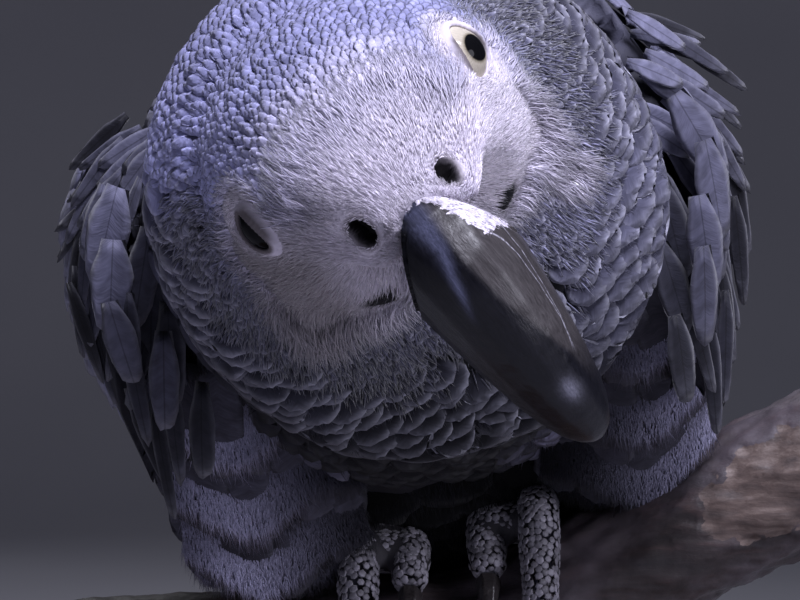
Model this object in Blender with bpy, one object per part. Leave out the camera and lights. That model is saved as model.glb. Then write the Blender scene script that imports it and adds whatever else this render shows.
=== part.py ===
"""Grey parrot, a life-size display model gripping a short cut branch on a plain stand.

Metres, +Z up. The bird faces -Y and its left side is +X. The origin is the middle of the
stand's underside. Every solid keeps a gap of GAP to its neighbours.
"""

import math
from collections import namedtuple

import bmesh
import bpy
from mathutils import Matrix, Vector

MM = 0.001
GAP = 0.0003

# Stand and perch
BASE_RADIUS = 0.085
BASE_HEIGHT = 0.014
BASE_BEVEL = 0.003
ROD_RADIUS = 0.004
ROD_PLACES = (-0.031, 0.030)
PERCH_TOP = 0.105
BRANCH_SIDES = 14
BRANCH_STEPS = 2

# How the bird is set over the perch
BODY_CENTRE_HEIGHT = 0.048
BODY_ROLL = math.radians(9.0)
EYE_MIDDLE = Vector((-0.0049, -0.095, PERCH_TOP + 0.0618))
HEAD_PITCH = math.radians(32.0)
HEAD_ROLL = math.radians(39.0)

# Head
EYE_RADIUS = 0.0060
EYE_HALF_SPACING = 0.0147
EYE_BACK = 0.0022
EYE_DROP = 0.0010
NOSTRIL_RADIUS = 0.0016
NOSTRIL_HALF_SPACING = 0.0067
NOSTRIL_FORWARD = 0.0162
NOSTRIL_DROP = 0.0003
HEAD_SIDES = 26
BILL_SIDES = 16

# Ruff, the fluffed neck behind the head
RUFF_CENTRE = Vector((0.0013, -0.066, PERCH_TOP + 0.0554))
RUFF_RADIUS = 0.0362
RUFF_STEPS = 5
RUFF_SWELL = 0.0030
COLLAR = 0.0022
RUFF_FOLD = 0.03

# Trunk
TRUNK_SIDES = 26
TRUNK_STEPS = 2

# Wings
WING_COLUMNS = 24
WING_ROWS = 8
WING_CLEAR = 0.0009
WING_FULLNESS = 0.8
WING_SKIN = 0.0014
COVERT_LIFT = 0.0016
EDGE_TIPS = 0.055

# Tail
TAIL_ROOT = Vector((0.0, 0.0895, -0.0155))
TAIL_LENGTH = 0.086
TAIL_DROP = 0.0165
TAIL_ROOT_HALF = 0.0115
TAIL_END_HALF = 0.0245
TAIL_ARCH = 0.0050
TAIL_ROOT_THICK = 0.0085
TAIL_END_THICK = 0.0022
TAIL_FEATHERS = 12
TAIL_TIP_ROUND = 0.0035
TAIL_LENGTHWISE = 4

# Legs and feet
TOE_RADIUS = 0.0036
TOE_END_RADIUS = 0.0029
TOE_END_TAPER = 0.72
KNUCKLE_ARCH = 0.0013
KNUCKLE_ARCH_SPAN = 90.0
KNUCKLE_DIP = 0.07
TOE_SIDES = 8
TOE_STEPS = 8
CLAW_RADIUS = 0.0021
CLAW_TIP_RADIUS = 0.0004
CLAW_SIDES = 6
CLAW_STEPS = 5
CLAW_START = 3.0
CLAW_ARCH = 0.0016
PALM_SIZE = Vector((0.0074, 0.0078, 0.0036))
PALM_CLEAR = 0.0004
TARSUS_RADIUS = 0.0034
ANKLE_RADIUS = 0.0039

# A cross-section of a lofted form: place along -Y or +Y, height, half width, reach above and
# below the centre, and how far its plane leans, in degrees.
Section = namedtuple("Section", "y z half_width up down lean")

# Trunk, from the neck joint back to the tail, in the body's own frame (mm)
TRUNK = (
    Section(-52.0, 8.5, 34.0, 34.0, 33.0, 0.0),
    Section(-40.0, 6.5, 39.0, 37.5, 37.0, 0.0),
    Section(-20.0, 3.5, 42.0, 39.5, 38.0, 0.0),
    Section(2.0, 0.0, 43.0, 39.5, 38.0, 0.0),
    Section(26.0, -4.0, 41.0, 37.0, 43.5, 0.0),
    Section(50.0, -8.5, 34.0, 29.5, 35.0, 0.0),
    Section(70.0, -12.0, 24.0, 20.0, 20.5, 0.0),
    Section(84.0, -14.5, 14.5, 11.5, 9.5, 0.0),
    Section(89.0, -15.3, 9.0, 6.5, 5.0, 0.0),
)

# Head, from the neck joint forward to the face (mm, the eyes' middle is the origin)
HEAD = (
    Section(13.0, -9.0, 24.5, 24.0, 21.0, -15.0),
    Section(6.0, -7.0, 22.4, 23.0, 21.0, -5.0),
    Section(-0.5, -5.5, 19.2, 20.5, 20.5, 8.0),
    Section(-5.2, -5.2, 15.9, 17.0, 18.8, 22.0),
    Section(-8.2, -5.4, 13.6, 13.8, 17.6, 32.0),
    Section(-9.5, -6.0, 12.3, 12.0, 16.6, 38.0),
)

# Cere, the bare band over the bill with the nostrils
CERE = (
    Section(-9.8, -6.2, 11.2, 11.2, 9.2, 38.0),
    Section(-11.8, -7.0, 10.4, 10.6, 8.4, 43.0),
    Section(-13.3, -8.0, 8.8, 9.4, 7.6, 48.0),
)

# Upper bill, from the cere down to the hooked tip
BILL_UPPER = (
    Section(-13.6, -8.3, 8.3, 9.2, 7.2, 48.0),
    Section(-16.4, -11.0, 8.3, 10.9, 6.8, 55.0),
    Section(-19.2, -14.4, 7.9, 11.6, 6.2, 64.0),
    Section(-22.4, -21.0, 7.0, 10.6, 5.4, 78.0),
    Section(-24.4, -28.0, 5.8, 8.6, 4.0, 90.0),
    Section(-25.8, -33.6, 4.3, 5.6, 2.6, 99.0),
    Section(-26.5, -36.7, 2.7, 3.2, 1.6, 104.0),
    Section(-26.9, -38.2, 1.1, 1.3, 0.7, 108.0),
)

# Lower bill, cut back where the upper bill closes over it
BILL_LOWER = (
    Section(-2.4, -15.6, 8.0, 3.6, 4.6, 38.0),
    Section(-8.6, -20.2, 7.3, 4.2, 4.2, 36.0),
    Section(-14.2, -23.8, 6.0, 4.0, 3.0, 27.0),
    Section(-18.0, -25.4, 4.2, 2.6, 1.6, 14.0),
)

# A wing's cross-section: its upper and lower edges, how far it bulges and how thick it is
WingSection = namedtuple("WingSection", "y top_x top_z low_x low_z bulge thick")

# Left wing, from the wrist back to the tips, in the body's own frame (mm)
WING = (
    WingSection(-57.0, 38.0, 25.0, 42.0, 3.0, 4.0, 3.0),
    WingSection(-51.0, 33.0, 37.5, 42.5, -13.0, 10.0, 5.0),
    WingSection(-38.0, 27.0, 44.0, 40.5, -23.0, 15.5, 6.5),
    WingSection(-15.0, 22.0, 43.0, 39.5, -26.5, 18.5, 7.0),
    WingSection(12.0, 15.0, 38.0, 38.5, -30.0, 19.5, 6.5),
    WingSection(42.0, 10.5, 27.5, 36.0, -43.0, 19.0, 5.0),
    WingSection(74.0, 9.5, 11.5, 35.5, -50.5, 12.5, 3.6),
    WingSection(105.0, 19.5, -6.0, 33.0, -51.5, 6.0, 2.6),
    WingSection(135.0, 26.5, -23.0, 31.0, -50.0, 2.5, 2.0),
    WingSection(158.0, 27.0, -34.0, 29.5, -48.0, 0.8, 1.6),
    WingSection(168.0, 27.5, -39.5, 28.5, -44.5, 0.2, 1.4),
)

# Branch: a point of its middle line and its radius there, above the perch's top (mm)
BranchPoint = namedtuple("BranchPoint", "x y z radius")
BRANCH = (
    BranchPoint(-62.0, 1.5, -15.2, 9.5),
    BranchPoint(-34.0, 0.5, -12.7, 9.7),
    BranchPoint(-8.0, 0.0, -10.6, 9.7),
    BranchPoint(5.0, 0.0, -10.0, 9.9),
    BranchPoint(15.0, -0.2, -8.2, 10.2),
    BranchPoint(26.0, -0.8, -3.4, 10.6),
    BranchPoint(42.0, -2.5, 4.8, 11.2),
    BranchPoint(58.0, -5.5, 14.0, 11.6),
    BranchPoint(72.0, -9.0, 22.0, 11.4),
)

# Feet: where each stands along the branch, and where its heel and thigh are (mm)
Leg = namedtuple("Leg", "side foot_x heel thigh thigh_size")
LEGS = (
    Leg("left", 17.2, (19.0, 15.0, 31.0), (19.0, 20.0, 19.5), (10.0, 15.0, 14.0)),
    Leg("right", -2.4, (-9.0, 15.0, 25.0), (-15.5, 19.0, 14.5), (10.5, 15.0, 14.0)),
)

# A toe: side of the foot it grows from (1 outer, -1 inner), the angles round the branch where
# it starts and ends, and its claw's turn, in degrees; 90 is the branch's top, 180 its front
Toe = namedtuple("Toe", "name outer start end claw_turn")
TOES = (
    Toe("toe_front_outer", 1, 92.0, 186.0, 44.0),
    Toe("toe_front_inner", -1, 92.0, 140.0, 46.0),
    Toe("toe_back_outer", 1, 88.0, 2.0, -44.0),
    Toe("toe_back_inner", -1, 88.0, 30.0, -42.0),
)
TOE_HALF_SPACING = 0.0039

# Colours: red, green, blue, roughness, metallic
FINISHES = {
    "feather_pale": (0.42, 0.43, 0.52, 0.75, 0.0),
    "feather_grey": (0.20, 0.21, 0.27, 0.75, 0.0),
    "feather_red": (0.50, 0.02, 0.02, 0.7, 0.0),
    "bare_white": (0.70, 0.66, 0.68, 0.6, 0.0),
    "horn_black": (0.02, 0.02, 0.024, 0.3, 0.0),
    "eye_pale": (0.75, 0.71, 0.52, 0.1, 0.0),
    "scaly_grey": (0.16, 0.16, 0.17, 0.6, 0.0),
    "bark": (0.07, 0.045, 0.035, 0.8, 0.0),
    "stand_wood": (0.16, 0.09, 0.05, 0.45, 0.0),
    "stand_steel": (0.55, 0.55, 0.57, 0.35, 1.0),
}


# ---------------------------------------------------------------- shared helpers


def clear_scene():
    for thing in list(bpy.data.objects):
        bpy.data.objects.remove(thing, do_unlink=True)


def finish(name):
    """The Principled material of one finish."""
    material = bpy.data.materials.get(name) or bpy.data.materials.new(name)
    material.use_nodes = True
    red, green, blue, roughness, metallic = FINISHES[name]
    shader = material.node_tree.nodes["Principled BSDF"]
    shader.inputs["Base Color"].default_value = (red, green, blue, 1.0)
    shader.inputs["Roughness"].default_value = roughness
    shader.inputs["Metallic"].default_value = metallic
    material.diffuse_color = (red, green, blue, 1.0)
    return material


def empty(name, place, turn):
    frame = bpy.data.objects.new(name, None)
    frame.location = place
    frame.rotation_euler = turn
    bpy.context.scene.collection.objects.link(frame)
    return frame


def put(name, mesh_data, material, parent=None, smooth=True):
    """Make the named object of a bmesh, with its faces outward."""
    bmesh.ops.recalc_face_normals(mesh_data, faces=mesh_data.faces)
    mesh = bpy.data.meshes.new(name)
    mesh_data.to_mesh(mesh)
    mesh_data.free()
    for face in mesh.polygons:
        face.use_smooth = smooth
    thing = bpy.data.objects.new(name, mesh)
    mesh.materials.append(finish(material))
    bpy.context.scene.collection.objects.link(thing)
    thing.parent = parent
    return thing


def cut(thing, cutter):
    """Take the cutter's space out of a thing."""
    cutter.hide_render = True
    cutter.display_type = "WIRE"
    modifier = thing.modifiers.new("cut_by_" + cutter.name, "BOOLEAN")
    modifier.operation = "DIFFERENCE"
    modifier.solver = "EXACT"
    modifier.object = cutter


def along(values, place):
    """Catmull-Rom value of a list of tuples at a place from 0 to 1."""
    span = place * (len(values) - 1)
    index = min(int(span), len(values) - 2)
    part = span - index
    before = values[max(index - 1, 0)]
    start = values[index]
    end = values[index + 1]
    after = values[min(index + 2, len(values) - 1)]
    result = []
    for a, b, c, d in zip(before, start, end, after):
        turn_in = (c - a) / 2
        turn_out = (d - b) / 2
        cube = 2 * part**3 - 3 * part**2 + 1
        result.append(
            cube * b
            + (part**3 - 2 * part**2 + part) * turn_in
            + (1 - cube) * c
            + (part**3 - part**2) * turn_out
        )
    return type(start)(*result)


def filled(sections, steps):
    """The sections with steps smooth stages between each pair."""
    count = (len(sections) - 1) * steps
    return [along(sections, i / count) for i in range(count + 1)]


def section_axes(section):
    """A section's in-plane upward direction and its forward normal."""
    lean = math.radians(section.lean)
    upward = Vector((0.0, -math.sin(lean), math.cos(lean)))
    forward = Vector((0.0, -math.cos(lean), -math.sin(lean)))
    return upward, forward


def section_ring(section, sides, grow=0.0, shift=0.0):
    """The points of one cross-section, grown and shifted along its normal."""
    upward, forward = section_axes(section)
    centre = Vector((0.0, section.y, section.z)) * MM + forward * shift
    points = []
    for i in range(sides):
        angle = 2 * math.pi * i / sides
        reach = section.up if math.sin(angle) >= 0 else section.down
        across = (section.half_width * MM + grow) * math.cos(angle)
        rise = (reach * MM + grow) * math.sin(angle)
        points.append(centre + Vector((across, 0.0, 0.0)) + upward * rise)
    return points


def section_rings(sections, sides, steps, grow=0.0):
    """All rings of a form; a grown form also reaches past its two ends."""
    stages = filled(sections, steps)
    headed_forward = stages[-1].y < stages[0].y
    outward = grow if headed_forward else -grow
    rings = []
    for i, stage in enumerate(stages):
        shift = 0.0
        if i == 0:
            shift = -outward
        if i == len(stages) - 1:
            shift = outward
        rings.append(section_ring(stage, sides, grow, shift))
    return rings


def loft(rings):
    """A closed form through a row of rings, by extruding the first ring onto the next."""
    form = bmesh.new()
    loop = [form.verts.new(point) for point in rings[0]]
    form.faces.new(loop)
    for ring in rings[1:]:
        edges = [form.edges.get((v, loop[i - 1])) for i, v in enumerate(loop)]
        made = bmesh.ops.extrude_edge_only(form, edges=edges)["geom"]
        fresh = {v for v in made if isinstance(v, bmesh.types.BMVert)}
        following = []
        for vert, point in zip(loop, ring):
            partner = next(e.other_vert(vert) for e in vert.link_edges if e.other_vert(vert) in fresh)
            partner.co = point
            following.append(partner)
        loop = following
    form.faces.new(loop)
    return form


def shell(columns, rows, outer, inner):
    """A closed plate: a grid laid on the outer surface and extruded onto the inner one."""
    form = bmesh.new()
    bmesh.ops.create_grid(form, x_segments=columns, y_segments=rows, size=0.5)
    spots = {}
    for vert in form.verts:
        spots[vert] = (vert.co.x + 0.5, vert.co.y + 0.5)
    made = bmesh.ops.extrude_face_region(form, geom=list(form.faces), use_keep_orig=True)["geom"]
    for vert in [v for v in made if isinstance(v, bmesh.types.BMVert)]:
        vert.co = inner(vert.co.x + 0.5, vert.co.y + 0.5)
    for vert, (u, v) in spots.items():
        vert.co = outer(u, v)
    return form


def tube(points, radii, sides):
    """A round form along a path that stays in a plane of constant X."""
    sideways = Vector((1.0, 0.0, 0.0))
    rings = []
    for i, (point, radius) in enumerate(zip(points, radii)):
        ahead = points[min(i + 1, len(points) - 1)]
        behind = points[max(i - 1, 0)]
        normal = sideways.cross(ahead - behind).normalized()
        rings.append(
            [
                point
                + sideways * radius * math.cos(2 * math.pi * k / sides)
                + normal * radius * math.sin(2 * math.pi * k / sides)
                for k in range(sides)
            ]
        )
    return loft(rings)


def ball(centre, size, segments, rows):
    """A sphere stretched to a size along each axis."""
    form = bmesh.new()
    bmesh.ops.create_uvsphere(form, u_segments=segments, v_segments=rows, radius=1.0)
    stretch = Matrix.Diagonal(Vector((size[0], size[1], size[2], 1.0)))
    form.transform(Matrix.Translation(centre) @ stretch)
    return form


# ---------------------------------------------------------------- stand and perch


def branch_line():
    return filled(BRANCH, BRANCH_STEPS)


def branch_at(x):
    """Middle, radius and slope of the branch at an X, in metres and radians."""
    line = branch_line()
    for start, end in zip(line, line[1:]):
        if start.x * MM <= x <= end.x * MM:
            part = (x / MM - start.x) / (end.x - start.x)
            middle = Vector((x, 0.0, PERCH_TOP))
            middle.y += (start.y + (end.y - start.y) * part) * MM
            middle.z += (start.z + (end.z - start.z) * part) * MM
            radius = (start.radius + (end.radius - start.radius) * part) * MM
            slope = math.atan2(end.z - start.z, end.x - start.x)
            return middle, radius, slope
    raise ValueError("no branch there")


def branch_form(grow):
    """The branch as rings square to its middle line."""
    stages = filled(BRANCH, BRANCH_STEPS)
    centres = [Vector((s.x, s.y, s.z)) * MM + Vector((0.0, 0.0, PERCH_TOP)) for s in stages]
    rings = []
    for i, stage in enumerate(stages):
        heading = centres[min(i + 1, len(stages) - 1)] - centres[max(i - 1, 0)]
        heading.normalize()
        across = Vector((0.0, 0.0, 1.0)).cross(heading).normalized()
        upward = heading.cross(across)
        centre = centres[i]
        if i == 0:
            centre = centre - heading * grow
        if i == len(stages) - 1:
            centre = centre + heading * grow
        radius = stage.radius * MM + grow
        turns = [2 * math.pi * k / BRANCH_SIDES for k in range(BRANCH_SIDES)]
        rings.append(
            [centre + (across * math.cos(t) + upward * math.sin(t)) * radius for t in turns]
        )
    return loft(rings)


def stand_base():
    form = bmesh.new()
    bmesh.ops.create_cone(
        form,
        cap_ends=True,
        segments=36,
        radius1=BASE_RADIUS,
        radius2=BASE_RADIUS,
        depth=BASE_HEIGHT,
    )
    rim = [e for e in form.edges if all(v.co.z > 0 for v in e.verts)]
    bmesh.ops.bevel(form, geom=rim, offset=BASE_BEVEL, segments=2, profile=0.5, affect="EDGES")
    bmesh.ops.translate(form, verts=form.verts, vec=(0.0, 0.0, BASE_HEIGHT / 2))
    return put("stand_base", form, "stand_wood", smooth=False)


def stand_rod(name, x, cutter):
    """A rod from the base up to the underside of the branch, hollowed to its shape."""
    middle, radius, slope = branch_at(x)
    bottom = BASE_HEIGHT + GAP
    top = middle.z - radius / 2
    form = bmesh.new()
    bmesh.ops.create_cone(
        form,
        cap_ends=True,
        segments=20,
        radius1=ROD_RADIUS,
        radius2=ROD_RADIUS,
        depth=top - bottom,
    )
    bmesh.ops.translate(form, verts=form.verts, vec=(x, middle.y, (top + bottom) / 2))
    rod = put(name, form, "stand_steel")
    cut(rod, cutter)
    return rod


def perch_and_stand():
    put("perch_branch", branch_form(0.0), "bark")
    branch_cutter = put("branch_space", branch_form(GAP), "bark")
    stand_base()
    for name, x in zip(("stand_rod_left", "stand_rod_right"), reversed(ROD_PLACES)):
        stand_rod(name, x, branch_cutter)
    return branch_cutter


# ---------------------------------------------------------------- trunk, wings and tail


def trunk(parent):
    put("trunk", loft(section_rings(TRUNK, TRUNK_SIDES, TRUNK_STEPS)), "feather_grey", parent)
    grown = section_rings(TRUNK, TRUNK_SIDES, TRUNK_STEPS, GAP)
    return put("trunk_space", loft(grown), "feather_grey", parent)


def trunk_at(y):
    """The trunk's section at a place along it, in metres."""
    stages = filled(TRUNK, TRUNK_STEPS)
    place = min(max(y / MM, stages[0].y), stages[-1].y)
    for start, end in zip(stages, stages[1:]):
        if place <= end.y:
            part = (place - start.y) / (end.y - start.y)
            return Section(*[(a + (b - a) * part) * MM for a, b in zip(start, end)])
    return Section(*[value * MM for value in stages[-1]])


def off_trunk(point, clear):
    """The point, moved out until it clears the trunk."""
    near = trunk_at(point.y)
    reach = near.up if point.z > near.z else near.down
    across = point.x / (near.half_width + clear)
    rise = (point.z - near.z) / (reach + clear)
    depth = math.hypot(across, rise)
    if depth >= 1.0 or depth == 0.0:
        return point
    return Vector((point.x / depth, point.y, near.z + (point.z - near.z) / depth))


def wing_surface(u, v, depth, side):
    """A place on a wing: u from wrist to tip, v from upper to lower edge, depth inward."""
    here = along(WING, u)
    column = round(u * WING_COLUMNS)
    row = round(v * WING_ROWS)
    reach = v
    if row == WING_ROWS:
        reach = 1.0 + EDGE_TIPS * ((column % 3) / 2 - 0.5)
    bend = max(math.sin(math.pi * min(reach, 1.0)), 0.0) ** WING_FULLNESS
    x = (here.top_x + (here.low_x - here.top_x) * reach + here.bulge * bend) * MM
    z = (here.top_z + (here.low_z - here.top_z) * reach) * MM
    lift = 0.0
    inside = 0 < row < WING_ROWS and 0 < column < WING_COLUMNS
    if inside and depth == 0.0:
        lift = COVERT_LIFT * (((column + row % 2) % 2) - 0.5)
    clear = WING_CLEAR if depth else WING_CLEAR + WING_SKIN
    body = trunk_at(here.y * MM)
    outward = Vector((x, 0.0, z - body.z)).normalized()
    thickness = depth * (0.25 + 0.75 * bend) * here.thick * MM
    point = Vector((x, here.y * MM, z)) + outward * (lift - thickness)
    point = off_trunk(point, clear)
    point.x *= side
    return point


def wing(name, side, parent):
    form = shell(
        WING_COLUMNS,
        WING_ROWS,
        lambda u, v: wing_surface(u, v, 0.0, side),
        lambda u, v: wing_surface(u, v, 1.0, side),
    )
    return put(name, form, "feather_grey", parent)


def tail_surface(u, v, depth):
    """A place on the tail: u from root to end, v from side to side, depth downward."""
    across = 2 * v - 1
    half = TAIL_ROOT_HALF + (TAIL_END_HALF - TAIL_ROOT_HALF) * u
    thick = TAIL_ROOT_THICK + (TAIL_END_THICK - TAIL_ROOT_THICK) * u
    feather = abs(math.sin(math.pi * v * TAIL_FEATHERS))
    rounding = TAIL_TIP_ROUND * (0.6 * feather - 1.2 * across * across)
    y = TAIL_ROOT.y + TAIL_LENGTH * u + rounding * u
    z = TAIL_ROOT.z - TAIL_DROP * u - TAIL_ARCH * across * across
    z += thick * (0.5 - depth) * (1 - 0.35 * across * across)
    return Vector((half * across, y, z))


def tail(parent):
    form = shell(
        TAIL_LENGTHWISE,
        TAIL_FEATHERS * 2,
        lambda u, v: tail_surface(u, v, 0.0),
        lambda u, v: tail_surface(u, v, 1.0),
    )
    return put("tail", form, "feather_red", parent)


# ---------------------------------------------------------------- neck and head


def neck(head_frame, body_frame):
    """The ruff, from the back of the head through its widest ring to the trunk."""
    front = section_ring(HEAD[0], HEAD_SIDES, COLLAR, -GAP)
    front = [head_frame @ point for point in front]
    trunk_start = trunk_at(TRUNK[0].y * MM)
    trunk_middle = Vector((0.0, trunk_start.y - GAP, trunk_start.z))
    middle_rings = []
    rear = []
    for i in range(HEAD_SIDES):
        angle = 2 * math.pi * i / HEAD_SIDES + HEAD_ROLL
        spoke = Vector((math.cos(angle), 0.0, math.sin(angle)))
        middle_rings.append(RUFF_CENTRE + spoke * RUFF_RADIUS)
        body_spoke = Vector((math.cos(angle - BODY_ROLL), 0.0, math.sin(angle - BODY_ROLL)))
        body_spoke.x *= trunk_start.half_width
        body_spoke.z *= trunk_start.up
        rear.append(body_frame @ (trunk_middle + body_spoke))
    rings = [front]
    for step in range(1, RUFF_STEPS):
        part = step / RUFF_STEPS
        swell = RUFF_SWELL * math.sin(math.pi * part)
        ring = []
        for start, end in zip(front, middle_rings):
            spoke = (end - RUFF_CENTRE).normalized()
            ring.append(start.lerp(end, part) + spoke * swell)
        rings.append(ring)
    rings.append(middle_rings)
    fold = [a.lerp(b, 0.5) + (a - RUFF_CENTRE) * RUFF_FOLD for a, b in zip(middle_rings, rear)]
    rings.append(fold)
    rings.append(rear)
    return put("neck", loft(rings), "feather_grey")


def eye_place(side):
    return Vector((side * EYE_HALF_SPACING, EYE_BACK, -EYE_DROP))


def head(parent):
    skull = put("head", loft(section_rings(HEAD, HEAD_SIDES, 2)), "feather_pale", parent)
    for name, side in (("left", 1), ("right", -1)):
        size = Vector((1.0, 1.0, 1.0))
        put("eye_" + name, ball(eye_place(side), size * EYE_RADIUS, 14, 8), "eye_pale", parent)
        socket = ball(eye_place(side), size * (EYE_RADIUS + GAP), 14, 8)
        cut(skull, put("socket_" + name, socket, "eye_pale", parent))
    return skull


def bill(parent):
    cere = put("cere", loft(section_rings(CERE, BILL_SIDES, 2)), "bare_white", parent)
    for name, side in (("left", 1), ("right", -1)):
        place = Vector((side * NOSTRIL_HALF_SPACING, -NOSTRIL_FORWARD, -NOSTRIL_DROP))
        hole = ball(place, Vector((1.0, 1.0, 1.0)) * NOSTRIL_RADIUS, 8, 6)
        cut(cere, put("nostril_" + name, hole, "horn_black", parent))
    put("bill_upper", loft(section_rings(BILL_UPPER, BILL_SIDES, 2)), "horn_black", parent)
    lower = put("bill_lower", loft(section_rings(BILL_LOWER, BILL_SIDES, 2)), "horn_black", parent)
    for name, sections in (("cere_space", CERE), ("bill_space", BILL_UPPER)):
        grown = loft(section_rings(sections, BILL_SIDES, 2, GAP))
        cut(lower, put(name, grown, "horn_black", parent))


# ---------------------------------------------------------------- legs and feet


def round_branch(x, angle, distance):
    """The place at an angle round the branch and a distance from its bark."""
    middle, radius, slope = branch_at(x)
    reach = radius + distance
    turn = math.radians(angle)
    offset = Vector((0.0, reach * math.cos(turn), reach * math.sin(turn) / math.cos(slope)))
    return middle + offset


def toe_form(x, toe, grow=0.0):
    span = abs(toe.end - toe.start)
    points = []
    radii = []
    for i in range(TOE_STEPS + 1):
        part = i / TOE_STEPS
        radius = TOE_RADIUS + (TOE_END_RADIUS - TOE_RADIUS) * part
        knuckle = 1.0 - KNUCKLE_DIP * (1 - math.cos(4 * math.pi * part)) / 2
        radii.append(radius * knuckle * (TOE_END_TAPER if i in (0, TOE_STEPS) else 1.0) + grow)
        angle = toe.start + (toe.end - toe.start) * part
        arch = KNUCKLE_ARCH * (span / KNUCKLE_ARCH_SPAN) ** 2 * math.sin(math.pi * min(2 * part, 1.0))
        points.append(round_branch(x, angle, radius + 2 * GAP + arch))
    return tube(points, radii, TOE_SIDES)


def claw_form(x, toe):
    points = []
    radii = []
    start = toe.end + math.copysign(CLAW_START, toe.claw_turn)
    for i in range(CLAW_STEPS + 1):
        part = i / CLAW_STEPS
        radius = CLAW_RADIUS + (CLAW_TIP_RADIUS - CLAW_RADIUS) * part
        radii.append(radius)
        rise = TOE_END_RADIUS + CLAW_ARCH * math.sin(math.pi * part)
        distance = rise * (1 - part * part) + (radius + 2 * GAP) * part * part
        points.append(round_branch(x, start + toe.claw_turn * part, distance))
    return tube(points, radii, CLAW_SIDES)


def leg(kind, trunk_cutter, branch_cutter):
    """One leg: thigh, tarsus, palm, four toes and their claws."""
    sign = 1 if kind.side == "left" else -1
    foot_x = kind.foot_x * MM
    above_perch = Vector((0.0, 0.0, PERCH_TOP))
    palm_place = round_branch(foot_x, 90.0, PALM_SIZE.z + PALM_CLEAR)
    heel = Vector(kind.heel) * MM + above_perch
    thigh_place = Vector(kind.thigh) * MM + above_perch
    thigh_size = Vector(kind.thigh_size) * MM

    thigh = put("thigh_" + kind.side, ball(thigh_place, thigh_size, 14, 8), "feather_grey")
    cut(thigh, trunk_cutter)
    cut(thigh, branch_cutter)
    grow = Vector((GAP, GAP, GAP))
    thigh_cutter = put(
        "thigh_space_" + kind.side, ball(thigh_place, thigh_size + grow, 14, 8), "feather_grey"
    )

    palm = put("foot_" + kind.side, ball(palm_place, PALM_SIZE, 12, 8), "scaly_grey")
    cut(palm, branch_cutter)
    cut(palm, thigh_cutter)
    palm_cutter = put(
        "palm_space_" + kind.side, ball(palm_place, PALM_SIZE + grow, 12, 8), "scaly_grey"
    )

    lean = heel - palm_place
    turn = Vector((0.0, 0.0, 1.0)).rotation_difference(lean)
    form = bmesh.new()
    bmesh.ops.create_cone(
        form,
        cap_ends=True,
        segments=12,
        radius1=ANKLE_RADIUS,
        radius2=TARSUS_RADIUS,
        depth=lean.length,
    )
    form.transform(Matrix.Translation(palm_place + lean / 2) @ turn.to_matrix().to_4x4())
    tarsus = put("tarsus_" + kind.side, form, "scaly_grey")
    for cutter in (palm_cutter, thigh_cutter, trunk_cutter, branch_cutter):
        cut(tarsus, cutter)

    for toe in TOES:
        x = foot_x + sign * toe.outer * TOE_HALF_SPACING
        digit = put(toe.name + "_" + kind.side, toe_form(x, toe), "scaly_grey")
        cut(digit, palm_cutter)
        cut(digit, thigh_cutter)
        digit_space = put(toe.name + "_space_" + kind.side, toe_form(x, toe, GAP), "scaly_grey")
        cut(tarsus, digit_space)
        put(toe.name.replace("toe", "claw") + "_" + kind.side, claw_form(x, toe), "horn_black")


def main():
    clear_scene()
    body = empty("body_frame", (0.0, 0.0, PERCH_TOP + BODY_CENTRE_HEIGHT), (0.0, -BODY_ROLL, 0.0))
    face = empty("head_frame", EYE_MIDDLE, (HEAD_PITCH, -HEAD_ROLL, 0.0))
    bpy.context.view_layer.update()

    branch_cutter = perch_and_stand()
    trunk_cutter = trunk(body)
    for name, side in (("wing_left", 1), ("wing_right", -1)):
        wing(name, side, body)
    tail(body)
    neck(face.matrix_world, body.matrix_world)
    head(face)
    bill(face)
    for kind in LEGS:
        leg(kind, trunk_cutter, branch_cutter)
    bpy.context.view_layer.update()


main()
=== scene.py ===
"""Grey parrot display model: skin, plumage, eyes, horn, scaly feet, perch and stand.

Metres. The bird faces -Y, its left side is +X. Each operator makes one piece, or one group of
like pieces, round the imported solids.
"""

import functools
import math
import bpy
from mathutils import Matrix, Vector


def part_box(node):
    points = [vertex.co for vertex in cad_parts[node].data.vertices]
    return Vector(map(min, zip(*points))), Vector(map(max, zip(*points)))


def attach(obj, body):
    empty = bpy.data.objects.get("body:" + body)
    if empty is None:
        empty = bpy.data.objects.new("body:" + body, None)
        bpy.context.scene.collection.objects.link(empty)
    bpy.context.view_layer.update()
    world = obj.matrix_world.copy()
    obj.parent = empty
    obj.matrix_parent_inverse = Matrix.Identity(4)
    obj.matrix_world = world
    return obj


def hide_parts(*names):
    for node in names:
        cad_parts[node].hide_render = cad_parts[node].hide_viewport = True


bl_info = {
    "name": "Grey parrot display model",
    "version": (1, 0, 0),
    "blender": (4, 5, 0),
    "location": "View3D > Sidebar > Parrot",
    "description": "Dresses the parrot's solids with skin, feathers, horn and bark",
    "category": "Object",
}

import bmesh
import bpy
import numpy as np
from mathutils import Euler, Matrix, Vector
from mathutils.bvhtree import BVHTree

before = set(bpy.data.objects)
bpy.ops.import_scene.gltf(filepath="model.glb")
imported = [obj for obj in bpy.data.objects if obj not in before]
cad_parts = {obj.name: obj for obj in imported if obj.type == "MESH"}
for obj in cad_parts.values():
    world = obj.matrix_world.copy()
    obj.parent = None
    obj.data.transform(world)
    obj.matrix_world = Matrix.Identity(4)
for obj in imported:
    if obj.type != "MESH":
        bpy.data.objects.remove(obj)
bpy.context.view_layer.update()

MM = 0.001
SIDES = ("left", "right")
SIGNS = {"left": 1.0, "right": -1.0}
TOES = ("front_outer", "front_inner", "back_outer", "back_inner")
# Width of one feather's patch of the unwrap
PATCH = 0.003

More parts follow.
